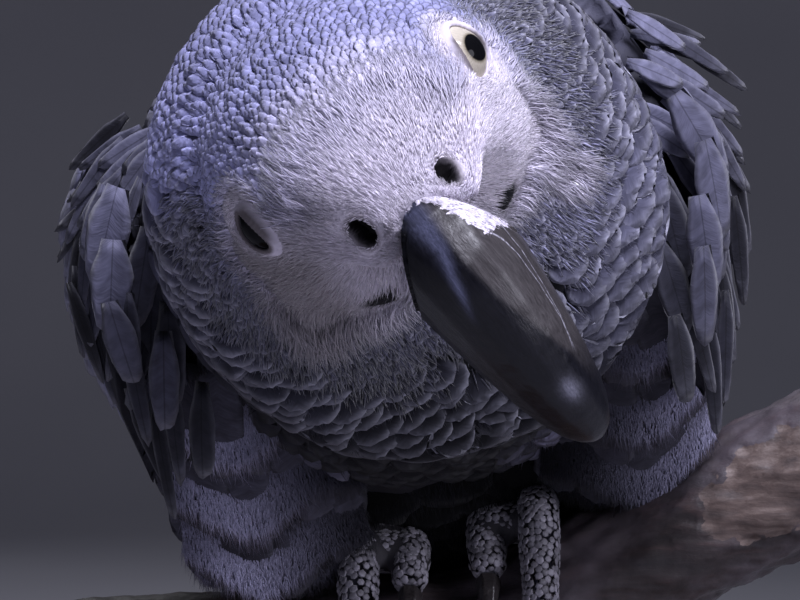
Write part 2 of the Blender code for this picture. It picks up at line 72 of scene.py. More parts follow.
# How the head and the body are turned, as the solids have them
HEAD_TURN = Euler((math.radians(32.0), math.radians(-39.0), 0.0)).to_matrix()
BODY_TURN = Euler((0.0, math.radians(-9.0), 0.0)).to_matrix()
EYE_MIDDLE_IN_HEAD = Vector((0.0, 2.2, -1.0)) * MM
PERCH_TOP = 0.105
BODY_ORIGIN = Vector((0.0, 0.0, PERCH_TOP + 0.048))
RUFF_CENTRE = Vector((0.0013, -0.066, PERCH_TOP + 0.0554))

# Where each pupil sits and which way it looks, and where the nostrils open, in the head's frame
PUPILS = {"left": (18.65, -1.5, 1.2), "right": (-18.1, -2.1, 1.0)}
GAZES = {"left": (0.786, -0.582, 0.207), "right": (-0.919, -0.335, 0.207)}
NOSTRILS = {"left": (5.8, -16.7, -1.6), "right": (-7.8, -16.2, -1.2)}
EYE_RADIUS = 0.0050
# The pupil of the eye on the shaded side is opened wider
IRIS_SCALE = {"left": 1.0, "right": 0.66}
# Half the lids' opening's length and width, its turn from the bill's direction, and its shift
OPENINGS = {
    "left": (0.0041, 0.0028, 43.0, (0.0, 0.0004)),
    "right": (0.0029, 0.0021, -27.0, (0.0, 0.0)),
}


def middle_of(node):
    low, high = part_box(node)
    return (low + high) / 2


HEAD_ORIGIN = (middle_of("eye_left") + middle_of("eye_right")) / 2
HEAD_ORIGIN = HEAD_ORIGIN - HEAD_TURN @ EYE_MIDDLE_IN_HEAD

HEAD_ROTATION = np.array(HEAD_TURN)
BODY_ROTATION = np.array(BODY_TURN)


def in_head(points):
    """Points in the head's own frame, in millimetres."""
    return (points - np.array(HEAD_ORIGIN)) @ HEAD_ROTATION / MM


def in_body(points):
    """Points in the body's own frame, in millimetres."""
    return (points - np.array(BODY_ORIGIN)) @ BODY_ROTATION / MM


def from_head(x, y, z):
    return HEAD_ORIGIN + HEAD_TURN @ (Vector((x, y, z)) * MM)


def from_body(x, y, z):
    return BODY_ORIGIN + BODY_TURN @ (Vector((x, y, z)) * MM)


def eye_direction(side):
    return HEAD_TURN @ Vector(GAZES[side]).normalized()


def eye_centre(side):
    return from_head(*PUPILS[side]) - eye_direction(side) * EYE_RADIUS


def ease(low, high, value):
    part = np.clip((value - low) / (high - low), 0.0, 1.0)
    return part * part * (3 - 2 * part)


def mix(first, second, share):
    """Blend towards the second value, with a share for each point."""
    share = np.asarray(share)[..., None]
    return np.asarray(first) * (1 - share) + np.asarray(second) * share


def length_of(vectors):
    return np.linalg.norm(vectors, axis=-1)


def stacked(*parts):
    """Arrays of parts as one array of vectors."""
    return np.stack(parts, axis=-1)


def gap_from(points, place):
    """Distance of each point from a place."""
    return length_of(points - np.array(place))


def unit(vectors):
    return vectors / np.maximum(length_of(vectors), 1e-12)[..., None]


# -------- sizes and colours


def colour_setting(name, description, *colour):
    return bpy.props.FloatVectorProperty(
        name=name, description=description, subtype="COLOR", size=3, default=colour, min=0, max=1
    )


class PlumageSettings(bpy.types.PropertyGroup):
    """Sizes and colours of the feathers."""

    crown_count: bpy.props.IntProperty(
        name="Head feathers per ring",
        description="How many feathers stand side by side round the head",
        default=104, min=20, max=140,
    )
    body_pitch: bpy.props.FloatProperty(
        name="Body feather width", description="Width of a breast or back feather",
        default=0.0048, unit="LENGTH",
    )
    face_wisps: bpy.props.IntProperty(
        name="Face wisps",
        description="How many hair-like feathers grow on each side of the face",
        default=13000, min=100, max=16000,
    )
    crown_colour: colour_setting("Crown", "Feathers of the crown", 0.270, 0.275, 0.470)
    face_colour: colour_setting("Face", "Bare white face and its wisps", 0.86, 0.80, 0.92)
    cheek_colour: colour_setting("Cheeks", "Feathers of cheeks and throat", 0.165, 0.165, 0.250)
    ruff_colour: colour_setting("Ruff", "Feathers of the neck", 0.072, 0.072, 0.112)
    # The breast and belly are painted near black, as the shade under the bird
    shaded_breast_colour: colour_setting("Breast", "Feathers of breast and belly", 0.009, 0.009, 0.013)
    flank_colour: colour_setting("Flanks", "Fluff of flank and thigh", 0.260, 0.255, 0.370)
    back_colour: colour_setting("Back", "Feathers of mantle and back", 0.130, 0.130, 0.180)
    rump_colour: colour_setting("Rump", "Feathers of the rump", 0.360, 0.360, 0.430)
    covert_colour: colour_setting("Wing coverts", "Small wing feathers", 0.150, 0.150, 0.225)
    flight_colour: colour_setting("Flight feathers", "Long wing feathers", 0.022, 0.022, 0.032)
    tail_colour: colour_setting("Tail", "Tail feathers and their coverts", 0.420, 0.010, 0.012)


def plumage_settings():
    return bpy.context.scene.parrot_plumage


# -------- materials


class Finish:
    """A material in the making, with its Principled shader and the nodes that shade it."""

    def __init__(self, name, roughness, sheen=0.0, coat=0.0, specular=0.5):
        self.material = bpy.data.materials.new(name)
        self.material.use_nodes = True
        self.tree = self.material.node_tree
        self.shader = self.tree.nodes["Principled BSDF"]
        self.fix("Roughness", roughness)
        self.fix("Sheen Weight", sheen)
        self.fix("Sheen Roughness", 0.5)
        self.fix("Coat Weight", coat)
        self.fix("Coat Roughness", 0.12)
        self.fix("Specular IOR Level", specular)

    def fix(self, socket, value):
        """Set what is the same all over."""
        self.shader.inputs[socket].default_value = value

    def link(self, output, socket):
        self.tree.links.new(output, self.shader.inputs[socket])

    def add(self, kind, settings=None, **inputs):
        """A node with its settings and its inputs, each a value or another node's output."""
        made = self.tree.nodes.new("ShaderNode" + kind)
        for key, value in (settings or {}).items():
            setattr(made, key, value)
        for key, value in inputs.items():
            by_number = key[1:].isdigit()
            socket = made.inputs[int(key[1:]) if by_number else key.replace("_", " ")]
            if isinstance(value, bpy.types.NodeSocket):
                self.tree.links.new(value, socket)
            else:
                socket.default_value = value
        return made

    def maths(self, operation, first, second=0.0, clamp=False, third=0.0):
        settings = {"operation": operation, "use_clamp": clamp}
        return self.add("Math", settings, i0=first, i1=second, i2=third).outputs[0]

    def times(self, first, second, clamp=False):
        return self.maths("MULTIPLY", first, second, clamp)

    def line(self, value, slope, start):
        """A straight line over a value."""
        return self.maths("MULTIPLY_ADD", value, slope, False, start)

    def around_one(self, value, depth):
        """A factor near 1 that rises and falls with a value between 0 and 1."""
        return self.line(value, 4.0 * depth, 1.0 - 2.0 * depth)

    def ramp(self, value, *stops):
        """A colour ramp over a value; stops are (place, colour)."""
        made = self.add("ValToRGB", None, Fac=value)
        band = made.color_ramp
        while len(band.elements) < len(stops):
            band.elements.new(0.5)
        for element, (place, colour) in zip(band.elements, stops):
            element.position = place
            if isinstance(colour, (int, float)):
                colour = (colour, colour, colour)
            element.color = (*colour, 1.0)
        return made.outputs["Color"]

    def blend(self, share, first, second, mode="MIX"):
        settings = {"data_type": "RGBA", "blend_type": mode}
        return self.add("Mix", settings, i0=share, i6=first, i7=second).outputs[2]

    def noise(self, vector, scale, detail=3.0, roughness=0.5):
        inputs = {"Vector": vector, "Scale": scale, "Detail": detail, "Roughness": roughness}
        return self.add("TexNoise", None, **inputs).outputs["Fac"]

    def place(self):
        return self.add("TexCoord").outputs["Object"]

    def attribute(self, name, output="Vector"):
        return self.add("Attribute", {"attribute_name": name}).outputs[output]

    def stretched(self, vector, *scale):
        return self.add("Mapping", None, Vector=vector, Scale=scale).outputs[0]

    def parts(self, vector):
        return self.add("SeparateXYZ", None, Vector=vector).outputs

    def grey(self, tone):
        return self.add("CombineColor", None, Red=tone, Green=tone, Blue=tone).outputs[0]

    def base(self, colour, tone=None):
        """The base colour, darkened by a tone."""
        if tone is not None:
            colour = self.blend(1.0, colour, tone, "MULTIPLY")
        self.link(colour, "Base Color")

    def bump(self, height, strength, distance):
        made = self.add("Bump", None, Strength=strength, Distance=distance, Height=height)
        self.link(made.outputs[0], "Normal")


def feather_material(name, barbs_per_mm, barb_depth, shaft, roughness=0.85, sheen=0.03):
    """Vanes: the tint of each feather, pale at the rim, with barbs slanting off a shaft."""
    found = bpy.data.materials.get(name)
    if found:
        return found
    finish = Finish(name, roughness, sheen, 0.0, 0.13)
    maths, times, noise = finish.maths, finish.times, finish.noise
    tint, alpha = finish.attribute("tint", "Color"), finish.attribute("tint", "Alpha")
    across, along, _ = finish.parts(finish.attribute("vane"))
    across_mm, along_mm, luck = finish.parts(finish.attribute("vane_mm"))
    aside, aside_mm = maths("ABSOLUTE", across), maths("ABSOLUTE", across_mm)
    slant = times(maths("SUBTRACT", along_mm, times(aside_mm, 0.9)), barbs_per_mm)
    lay = finish.add("CombineXYZ", None, X=slant, Y=times(across_mm, 0.5), Z=luck).outputs[0]
    barbs = noise(lay, 1.0, 2.0, 0.6)
    clump = noise(finish.stretched(lay, 0.22, 0.8, 1.0), 1.0, 2.0)
    rim = maths("MAXIMUM", maths("POWER", along, 7.0), times(maths("POWER", aside, 5.0), 0.75))
    pale = finish.blend(0.42, tint, (0.80, 0.80, 0.95, 1.0))
    shaded = finish.blend(times(rim, alpha, True), tint, pale)
    tone = times(finish.around_one(barbs, barb_depth), finish.around_one(clump, 0.35))
    if shaft:
        line = maths("LESS_THAN", aside_mm, shaft)
        tone = times(tone, maths("SUBTRACT", 1.0, times(line, 0.4)))
    finish.base(shaded, finish.grey(tone))
    finish.bump(barbs, 0.5, 0.00015)
    return finish.material


def fringe_material():
    return feather_material("feather_fringe", 1.0, 0.02, 0.0, 0.9)


def speckled_material(name, surface, spot_size, grain_size, darkest, strength, depth):
    """The tint of skin or scales, in lighter and darker spots, with a fine grain."""
    finish = Finish(name, *surface)
    place = finish.place()
    spots = finish.noise(place, spot_size, 4.0)
    grain = finish.noise(place, grain_size, 3.0) if grain_size else spots
    finish.base(finish.attribute("tint", "Color"), finish.ramp(spots, (0.3, darkest), (0.7, 1.0)))
    finish.bump(grain, strength, depth)
    return finish.material


def claw_material():
    """Black horn with streaks along it and a soft shine."""
    finish = Finish("claw_horn", 0.35, 0.0, 0.15)
    streak = finish.noise(finish.attribute("horn_lay"), 1.6, 5.0, 0.6)
    finish.base(finish.ramp(streak, (0.32, (0.007, 0.006, 0.007)), (0.75, (0.06, 0.052, 0.052))))
    finish.bump(streak, 0.25, 0.0002)
    return finish.material


def bill_material():
    """Black horn, streaked from base to tip and scratched along its cutting edge; the alpha of
    the tint says where pale flaky skin lies over it."""
    finish = Finish("bill_horn", 0.38, 0.0, 0.03, 0.24)
    maths, times, line = finish.maths, finish.times, finish.line
    lay = finish.attribute("horn_lay")
    across, down, back = finish.parts(lay)
    streak = finish.noise(finish.stretched(lay, 3.4, 0.30, 2.6), 1.0, 5.0, 0.65)
    fleck = finish.noise(finish.stretched(lay, 2.0, 1.2, 2.0), 1.3, 4.0, 0.7)
    grey = finish.grey(finish.around_one(streak, 0.55))
    base = finish.blend(1.0, finish.attribute("tint", "Color"), grey, "MULTIPLY")
    # Two pale scratches on the left side: place at the bill's base, slope, half width
    scratch = 0.0
    for start, slope, half in ((-20.8, 0.20, 0.16), (-15.9, 0.058, 0.14)):
        gap = maths("ABSOLUTE", maths("SUBTRACT", back, line(down, slope, start)))
        close = maths("SUBTRACT", 1.0, maths("DIVIDE", gap, half), True)
        scratch = maths("MAXIMUM", scratch, close)
    reach = maths("DIVIDE", down, 40.0)
    reach = finish.ramp(reach, (0.43, 0.0), (0.47, 0.8), (0.84, 0.9), (0.92, 0.0))
    scratch = times(times(scratch, reach), maths("GREATER_THAN", across, 2.0))
    scratch = times(scratch, finish.ramp(fleck, (0.40, 0.1), (0.56, 1.0)))
    base = finish.blend(scratch, base, (0.42, 0.41, 0.48, 1.0))
    flaky = maths("ADD", finish.attribute("tint", "Alpha"), times(fleck, 0.9))
    flaky = finish.ramp(flaky, (0.86, 0.0), (1.02, 1.0))
    skin = finish.ramp(fleck, (0.3, (0.42, 0.39, 0.46)), (0.6, (0.78, 0.73, 0.84)))
    finish.base(finish.blend(flaky, base, skin))
    rough = maths("ADD", line(streak, 0.35, 0.18), times(flaky, 0.5), True)
    finish.link(rough, "Roughness")
    finish.bump(maths("ADD", streak, times(flaky, 0.8)), 0.3, 0.0002)
    return finish.material


def eye_material():
    """Pale iris with fine spokes round a black pupil, dark beyond the iris."""
    finish = Finish("eye", 0.1, 0.0, 0.12, 0.12)
    finish.fix("Coat Roughness", 0.02)
    finish.fix("IOR", 1.12)
    ring = finish.attribute("ring")
    spokes = finish.noise(finish.stretched(ring, 0.8, 7.0, 1.0), 2.0, 4.0, 0.65)
    reach = finish.maths("ADD", finish.parts(ring)["X"], finish.line(spokes, 0.16, -0.08))
    colour = finish.ramp(
        finish.maths("DIVIDE", reach, 6.0),
        (0.0, (0.004, 0.004, 0.005)), (0.300, (0.005, 0.005, 0.006)), (0.325, (0.26, 0.23, 0.17)),
        (0.37, (0.52, 0.47, 0.38)), (0.60, (0.62, 0.57, 0.47)), (0.68, (0.46, 0.41, 0.27)),
        (0.715, (0.05, 0.045, 0.04)), (1.0, (0.02, 0.02, 0.02)),
    )
    finish.base(colour, finish.ramp(spokes, (0.3, 0.72), (0.7, 1.0)))
    return finish.material


def bark_material():
    """Dark, smooth, reddish bark with lighter wood where it is stripped."""
    finish = Finish("bark", 0.6, 0.0, 0.06)
    place = finish.place()
    grain = finish.noise(finish.stretched(place, 60.0, 330.0, 330.0), 1.0, 6.0, 0.62)
    blotch = finish.noise(place, 55.0, 5.0, 0.6)
    fleck = finish.noise(place, 900.0, 3.0)
    bark = finish.ramp(
        grain, (0.30, (0.008, 0.006, 0.007)), (0.52, (0.026, 0.018, 0.018)),
        (0.72, (0.065, 0.038, 0.036)),
    )
    blotch = finish.ramp(blotch, (0.44, 0.0), (0.62, 0.8))
    bark = finish.blend(blotch, bark, (0.085, 0.070, 0.082, 1.0))
    wood = finish.ramp(
        finish.noise(finish.stretched(place, 70.0, 520.0, 520.0), 1.0, 6.0, 0.6),
        (0.30, (0.035, 0.024, 0.022)), (0.52, (0.095, 0.066, 0.056)), (0.72, (0.20, 0.155, 0.135)),
    )
    edge = finish.maths("ADD", finish.attribute("stripped", "Fac"), finish.line(fleck, 0.5, -0.25))
    finish.base(finish.blend(finish.ramp(edge, (0.46, 0.0), (0.56, 1.0)), bark, wood))
    finish.bump(finish.maths("ADD", grain, finish.times(fleck, 0.3)), 0.5, 0.0006)
    return finish.material


def stand_wood_material():
    """Satin walnut with wavy lines and dark pores."""
    finish = Finish("turned_walnut", 0.58, 0.0, 0.04, 0.25)
    place = finish.place()
    warp = finish.noise(place, 14.0, 3.0)
    lines = finish.add(
        "TexWave", {"wave_type": "BANDS", "bands_direction": "X"},
        Vector=finish.stretched(place, 1.0, 0.16, 1.0), Scale=46.0, Distortion=7.0, Detail=4.0,
        Detail_Scale=2.2,
    ).outputs["Fac"]
    pores = finish.noise(finish.stretched(place, 900.0, 60.0, 900.0), 1.0, 2.0)
    colour = finish.ramp(
        finish.maths("ADD", finish.times(lines, 0.7), finish.times(warp, 0.4)),
        (0.2, (0.050, 0.026, 0.015)), (0.55, (0.115, 0.062, 0.036)), (0.9, (0.19, 0.11, 0.065)),
    )
    finish.base(colour, finish.ramp(pores, (0.36, 0.55), (0.46, 1.0)))
    finish.bump(pores, 0.25, 0.0001)
    return finish.material


def steel_material():
    """Steel brushed along the rod."""
    finish = Finish("brushed_steel", 0.3)
    finish.fix("Metallic", 1.0)
    lines = finish.noise(finish.stretched(finish.place(), 400.0, 400.0, 9000.0), 1.0, 3.0)
    finish.base(finish.ramp(lines, (0.3, (0.42, 0.42, 0.44)), (0.7, (0.62, 0.62, 0.64))))
    finish.link(finish.line(lines, 0.25, 0.18), "Roughness")
    finish.bump(lines, 0.15, 0.00005)
    return finish.material


# -------- mesh helpers


def form_of(mesh):
    form = bmesh.new()
    form.from_mesh(mesh)
    return form


def meshed(form, name):
    """A bmesh's form as a new mesh."""
    mesh = bpy.data.meshes.new(name)
    form.to_mesh(mesh)
    form.free()
    return mesh


def merged(*nodes):
    """One bmesh of copies of CAD nodes, with their loose triangles joined up."""
    form = bmesh.new()
    for name in nodes:
        form.from_mesh(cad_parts[name].data)
    bmesh.ops.remove_doubles(form, verts=form.verts, dist=0.00001)
    return form


def new_object(name, data):
    """An object in the scene."""
    made = bpy.data.objects.new(name, data)
    bpy.context.scene.collection.objects.link(made)
    return made


def settle(name, mesh, material, nodes=()):
    """The piece's object, riding on the root, standing for its nodes."""
    piece = new_object(name, mesh)
    mesh.materials.clear()
    mesh.materials.append(material)
    mesh.shade_smooth()
    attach(piece, "root")
    if nodes:
        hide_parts(*nodes)
    return piece


def remeshed(form, name, voxel, smoothing):
    """A bmesh's form as one even closed surface."""
    scratch = new_object(name + "_scratch", meshed(form, name))
    modifier = scratch.modifiers.new("even", "REMESH")
    modifier.mode = "VOXEL"
    modifier.voxel_size = voxel
    modifier = scratch.modifiers.new("soften", "SMOOTH")
    modifier.factor = 0.5
    modifier.iterations = smoothing
    graph = bpy.context.evaluated_depsgraph_get()
    made = bpy.data.meshes.new_from_object(scratch.evaluated_get(graph))
    made.name = name
    bpy.data.objects.remove(scratch)
    return made


def surface_of(mesh):
    """The mesh's points and their normals."""
    found = []
    for items, field in ((mesh.vertices, "co"), (mesh.vertex_normals, "vector")):
        values = np.zeros(len(items) * 3)
        items.foreach_get(field, values)
        found.append(values.reshape(-1, 3))
    return found


def move_points(mesh, points):
    mesh.vertices.foreach_set("co", points.ravel())
    mesh.update()


def paint(mesh, name, values, kind="FLOAT_VECTOR"):
    """Write a value to each point of the mesh."""
    field = {"FLOAT_COLOR": "color", "FLOAT_VECTOR": "vector", "FLOAT": "value"}[kind]
    layer = mesh.attributes.new(name, kind, "POINT")
    layer.data.foreach_set(field, np.ascontiguousarray(values, dtype=np.float32).ravel())


def rgba(colours, alpha=1.0):
    colours = np.asarray(colours, float)
    rest = np.broadcast_to(np.asarray(alpha, float), colours.shape[:-1])[..., None]
    return np.concatenate([colours, rest], axis=-1)


def tint_points(mesh, colours, alpha=1.0):
    paint(mesh, "tint", rgba(colours, alpha), "FLOAT_COLOR")


def wobble(points, scale, seed=0):
    """Smooth noise between -1 and 1 from a few sine waves, the same on every run."""
    rng = np.random.default_rng(seed)
    total = np.zeros(points.shape[:-1])
    for octave in range(4):
        headings = rng.normal(size=(3, 3)) * scale * 1.9**octave
        phases = rng.uniform(0, 6.28, 3)
        waves = np.sin(points @ headings.T + phases)
        total += waves.prod(axis=-1) * 0.75**octave
    return np.clip(total, -1, 1)


def tree_of(form):
    found = BVHTree.FromBMesh(form)
    form.free()
    return found


# -------- the lie of the feathers


class Lie:
    """A surface as a net of points: rows run with the lie of the feathers."""

    def __init__(self, points, closed, outward=1.0):
        self.points = points
        self.closed = closed
        self.rows, self.columns = points.shape[:2]
        self.along = np.gradient(points, axis=0)
        if closed:
            self.across = (np.roll(points, -1, axis=1) - np.roll(points, 1, axis=1)) / 2
        else:
            self.across = np.gradient(points, axis=1)
        self.outward = outward
        self.normals = unit(np.cross(self.along, self.across)) * outward

    def at(self, net, row, column):
        """The net's value at fractional rows and columns."""
        i = np.clip(np.floor(row).astype(int), 0, self.rows - 2)
        f = np.clip(row - i, -3.0, 4.0)[..., None]
        j = np.floor(column).astype(int)
        if self.closed:
            g = (column - j)[..., None]
            j, following = j % self.columns, (j + 1) % self.columns
        else:
            j = np.clip(j, 0, self.columns - 2)
            g = np.clip(column - j, -3.0, 4.0)[..., None]
            following = j + 1
        near = net[i, j] * (1 - g) + net[i, following] * g
        far = net[i + 1, j] * (1 - g) + net[i + 1, following] * g
        return near * (1 - f) + far * f

    def spot(self, row, column):
        return self.at(self.points, row, column)

    def steps_at(self, row, column):
        """How far one row and one column reach, in metres."""
        nets = (self.along, self.across)
        return (length_of(self.at(net, row, column)) for net in nets)

    def reach(self, start, column, end_row, end_column):
        """The way from a root to a tip: steps in rows and columns, and length in metres."""
        aim = (end_row - start, end_column - column)
        path = np.linspace(0, 1, 20)
        line = self.spot(start + aim[0] * path, column + aim[1] * path)
        return aim, length_of(np.diff(line, axis=0)).sum()

    def trace(self, row, column, length, steps, turn=0.0, aim=None):
        """Follow the surface from each root: row, column, and the steps in rows and columns for
        one metre ahead and one metre aside, each with a line for each station."""
        stations = []
        for k in range(steps + 1):
            along = self.at(self.along, row, column)
            across = self.at(self.across, row, column)
            normal = unit(np.cross(along, across)) * self.outward
            if aim is None:
                forward = unit(along)
                sideways = np.cross(normal, forward)
                ahead = forward * np.cos(turn)[:, None] + sideways * np.sin(turn)[:, None]
            else:
                ahead = unit(along * aim[0] + across * aim[1])
            a = (along * along).sum(-1)
            b = (along * across).sum(-1)
            d = (across * across).sum(-1)
            scale = 1.0 / np.maximum(a * d - b * b, 1e-16)
            moves = []
            for heading in (ahead, np.cross(normal, ahead)):
                p = (heading * along).sum(-1)
                q = (heading * across).sum(-1)
                moves += [(p * d - q * b) * scale, (q * a - p * b) * scale]
            stations.append(np.stack([row, column, *moves]))
            row = row + moves[0] * length / steps
            column = column + moves[1] * length / steps
        return np.stack(stations, axis=1)


def squares(net):
    """The four corners of each square of a net of numbers."""
    corners = (net[:-1, :-1], net[1:, :-1], net[1:, 1:], net[:-1, 1:])
    return [tuple(square) for square in np.stack(corners, axis=-1).reshape(-1, 4)]


class VaneShape:
    """The outline and faces shared by all feathers of one kind: squares across and along, how
    round the tip is, and how wide the root is as a share of the full width."""

    def __init__(self, columns, rows, tip_round, root_width, wide_at=0.5, full=False, taper=0.0):
        self.rows = rows
        index = np.arange((columns + 1) * (rows + 1)).reshape(rows + 1, columns + 1)
        self.top = squares(index)
        points = index.ravel()
        if full:
            inner = index[1:-1, 1:-1]
            lower = index.copy()
            lower[1:-1, 1:-1] = index.size + np.arange(inner.size).reshape(inner.shape)
            self.below = [(a, d, c, b) for a, b, c, d in squares(lower)]
            points = np.concatenate([points, inner.ravel()])
        else:
            self.below = []
            for r in range(rows):
                near = index[r] if r == 0 else index[r, [0, -1]]
                far = index[r + 1, ::-1] if r == rows - 1 else index[r + 1, [-1, 0]]
                self.below.append((*near, *far))
        self.under = np.arange(len(points)) >= index.size
        self.row = points // (columns + 1)
        self.along = np.linspace(0, 1, rows + 1)[self.row]
        self.across = np.linspace(-1, 1, columns + 1)[points % (columns + 1)]
        spread = root_width + (1 - root_width) * ease(0.0, wide_at, self.along)
        self.half = self.across * spread * (1 - taper * ease(wide_at, 1.0, self.along))
        cut = 1 - np.sqrt(np.maximum(1 - (0.985 * self.across) ** 2, 0.0))
        self.back = tip_round * cut * self.along**1.5


class HairShape:
    """A fine barb: a three-sided spike, with the given number of joints, that ends in a point."""

    def __init__(self, joints):
        self.rows = joints
        self.across = np.append(np.tile([-1.0, 0.0, 1.0], joints), 0.0)
        self.row = np.append(np.repeat(np.arange(joints), 3), joints)
        self.along = self.row / joints
        self.half = self.across * (0.75 + 0.25 * (self.row > 0))
        self.back = np.zeros(len(self.row))
        self.under = np.zeros(len(self.row), bool)
        self.top, self.below = [], [(0, 1, 2)]
        for k in range(0, 3 * joints - 3, 3):
            self.top += [(k, k + 3, k + 4, k + 1), (k + 1, k + 4, k + 5, k + 2)]
            self.below.append((k, k + 2, k + 5, k + 3))
        last = 3 * joints - 3
        self.top += [(last, last + 3, last + 1), (last + 1, last + 3, last + 2)]
        self.below.append((last, last + 2, last + 3))


class Coat:
    """Gathers feathers and joins them into one piece."""

    def __init__(self, seed):
        self.rng = np.random.default_rng(seed)
        self.parts = []
        self.points = 0
        self.corners = 0

    def outline(self, shape, length, width, jag):
        """How far each point is moved along and across its feather, with a ragged tip."""
        at_tip = (shape.along >= 0.999)[:, None]
        teeth = self.rng.uniform(-1.0, 1.0, (len(shape.along), len(length))) * jag
        teeth = teeth * length * (0.25 + 0.75 * at_tip) * (shape.along > 0.4)[:, None]
        forward = -np.minimum(shape.back[:, None] * width, length * 0.8) + teeth
        return forward, shape.half[:, None] * width * 0.5

    def lay(self, lie, shape, row, column, length, width, tint, rim, lift, camber, turn=0.0,
            aim=None, curl=0.0, sink=0.0003, jag=0.0, thick=0.0004, raise_by=0.0):
        """Lay feathers of one shape with their roots at rows and columns of the lie."""
        length, width, lift, turn = (
            np.broadcast_to(np.asarray(v, float), (len(row),)) for v in (length, width, lift, turn)
        )
        traced = lie.trace(row, column, length, shape.rows, turn, aim)[:, shape.row]
        forward, sideways = self.outline(shape, length, width, jag)
        r = traced[0] + traced[2] * forward + traced[4] * sideways
        c = traced[1] + traced[3] * forward + traced[5] * sideways
        part = np.clip(shape.along[:, None] + forward / length, 0, 1.2)
        rise = lift * part * (1.6 - 0.6 * part)
        rise = rise - curl * lift * ease(0.55, 1.0, part)
        dome = camber * width * (1 - shape.across[:, None] ** 2) * (0.35 + 0.65 * part)
        height = rise + dome - sink * (1 - part) + raise_by + self.depth(shape, thick)
        spots = lie.spot(r, c) + lie.at(lie.normals, r, c) * height[..., None]
        home = stacked((column / lie.columns) % 1.0, row / lie.rows)
        self.add(spots, shape, home, length, width, tint, rim)

    def stand(self, shape, root, ahead, up, length, width, tint, rim, home, camber=0.08,
              droop=0.1, jag=0.0, thick=0.0004, twist=0.0):
        """Feathers with their own roots, headings and upper sides."""
        width = np.broadcast_to(np.asarray(width, float), (len(root),))
        ahead = unit(ahead)
        up = unit(up - ahead * (up * ahead).sum(-1, keepdims=True))
        aside = np.cross(up, ahead)
        forward, sideways = self.outline(shape, length, width, jag)
        reach = shape.along[:, None] * length + forward
        part = reach / length
        height = camber * width * (1 - shape.across[:, None] ** 2) - droop * length * part**2
        height = height + twist * sideways * part + self.depth(shape, thick)
        spots = root[None] + ahead[None] * reach[..., None]
        spots = spots + aside[None] * sideways[..., None] + up[None] * height[..., None]
        self.add(spots, shape, home, length, width, tint, rim)

    def depth(self, shape, thick):
        """How far the under side lies below the upper one."""
        depth = -thick * (1 - shape.across**4)
        return np.where(shape.under, depth, 0.0)[:, None]

    def add(self, spots, shape, home, length, width, tint, rim):
        """Keep the feathers' points, faces, colours and their patches of the unwrap."""
        size, total = spots.shape[:2]
        luck = np.repeat(self.rng.uniform(0, 1, total), size)
        tint = np.repeat(rgba(np.broadcast_to(tint, (total, 3)), rim), size, axis=0)
        # Painted shade: the under side of each feather is darker
        tint[:, :3] *= np.tile(np.where(shape.under, 0.3, 1.0), total)[:, None]
        along = np.tile(shape.along, total)
        vane = stacked(np.tile(shape.across, total), along, luck)
        aside = np.tile(shape.half, total) * np.repeat(width, size) / 2 / MM
        measure = stacked(aside, along * np.repeat(length, size) / MM, luck * 90.0)
        faces = shape.top + shape.below
        sides = np.array([len(f) for f in faces])
        flat = np.concatenate([np.array(f) for f in faces])
        lower = np.repeat(np.arange(len(faces)) >= len(shape.top), sides)
        u = (shape.across[flat] * 0.5 + 0.5) * PATCH
        v = np.where(lower, PATCH - shape.along[flat] * 0.0014, shape.along[flat] * 0.0014)
        patch = np.clip(home, 0.002, 0.995)[:, None, :] + stacked(u, v)[None]
        corners = flat[None] + self.points + size * np.arange(total)[:, None]
        starts = self.corners + len(flat) * np.arange(total)[:, None] + np.cumsum(sides) - sides
        self.parts.append((
            spots.transpose(1, 0, 2).reshape(-1, 3), corners.ravel(), starts.ravel(), tint, vane,
            measure, patch.reshape(-1, 2),
        ))
        self.points += size * total
        self.corners += len(flat) * total

    def piece(self, name, material, slot="plumage", nodes=()):
        """The joined mesh as a piece."""
        points, corners, starts, tints, vanes, measures, patches = (
            np.concatenate(values) for values in zip(*self.parts)
        )
        mesh = bpy.data.meshes.new(name)
        mesh.vertices.add(len(points))
        mesh.vertices.foreach_set("co", points.astype(np.float32).ravel())
        mesh.loops.add(len(corners))
        mesh.loops.foreach_set("vertex_index", corners.astype(np.int32))
        mesh.polygons.add(len(starts))
        mesh.polygons.foreach_set("loop_start", starts.astype(np.int32))
        mesh.update(calc_edges=True)
        mesh.validate()
        paint(mesh, "tint", tints, "FLOAT_COLOR")
        paint(mesh, "vane", vanes)
        paint(mesh, "vane_mm", measures)
        unwrap = mesh.uv_layers.new(name="OFBake")
        unwrap.data.foreach_set("uv", patches.astype(np.float32).ravel())
        return settle(name, mesh, material, nodes)


# -------- the bird's surfaces

# Rings of the flesh: place along and up the middle plane, half width, reach above and below,
# and lean, in millimetres and degrees
HEAD_RINGS = (
    (-13.0, -7.9, 9.0, 9.6, 7.8, 47.0),
    (-11.8, -7.0, 10.4, 10.6, 8.4, 43.0),
    (-9.8, -6.2, 11.2, 11.2, 9.2, 38.0),
    (-9.5, -6.0, 12.3, 12.0, 16.6, 38.0),
    (-8.2, -5.4, 13.6, 13.8, 17.6, 32.0),
    (-5.2, -5.2, 15.9, 17.0, 18.8, 22.0),
    (-0.5, -5.5, 19.2, 20.5, 20.5, 8.0),
    (6.0, -7.0, 22.4, 23.0, 21.0, -5.0),
    (13.0, -9.0, 25.5, 25.0, 22.0, -15.0),
)
BODY_RINGS = (
    (-52.0, 8.5, 34.0, 34.0, 33.0),
    (-40.0, 6.5, 39.0, 37.5, 37.0),
    (-20.0, 3.5, 42.0, 39.5, 38.0),
    (2.0, 0.0, 43.0, 39.5, 38.0),
    (26.0, -4.0, 41.0, 37.0, 43.5),
    (50.0, -8.5, 34.0, 29.5, 35.0),
    (70.0, -12.0, 24.0, 20.0, 20.5),
    (84.0, -14.5, 14.5, 11.5, 9.5),
    (88.5, -15.2, 9.5, 7.0, 5.4),
)
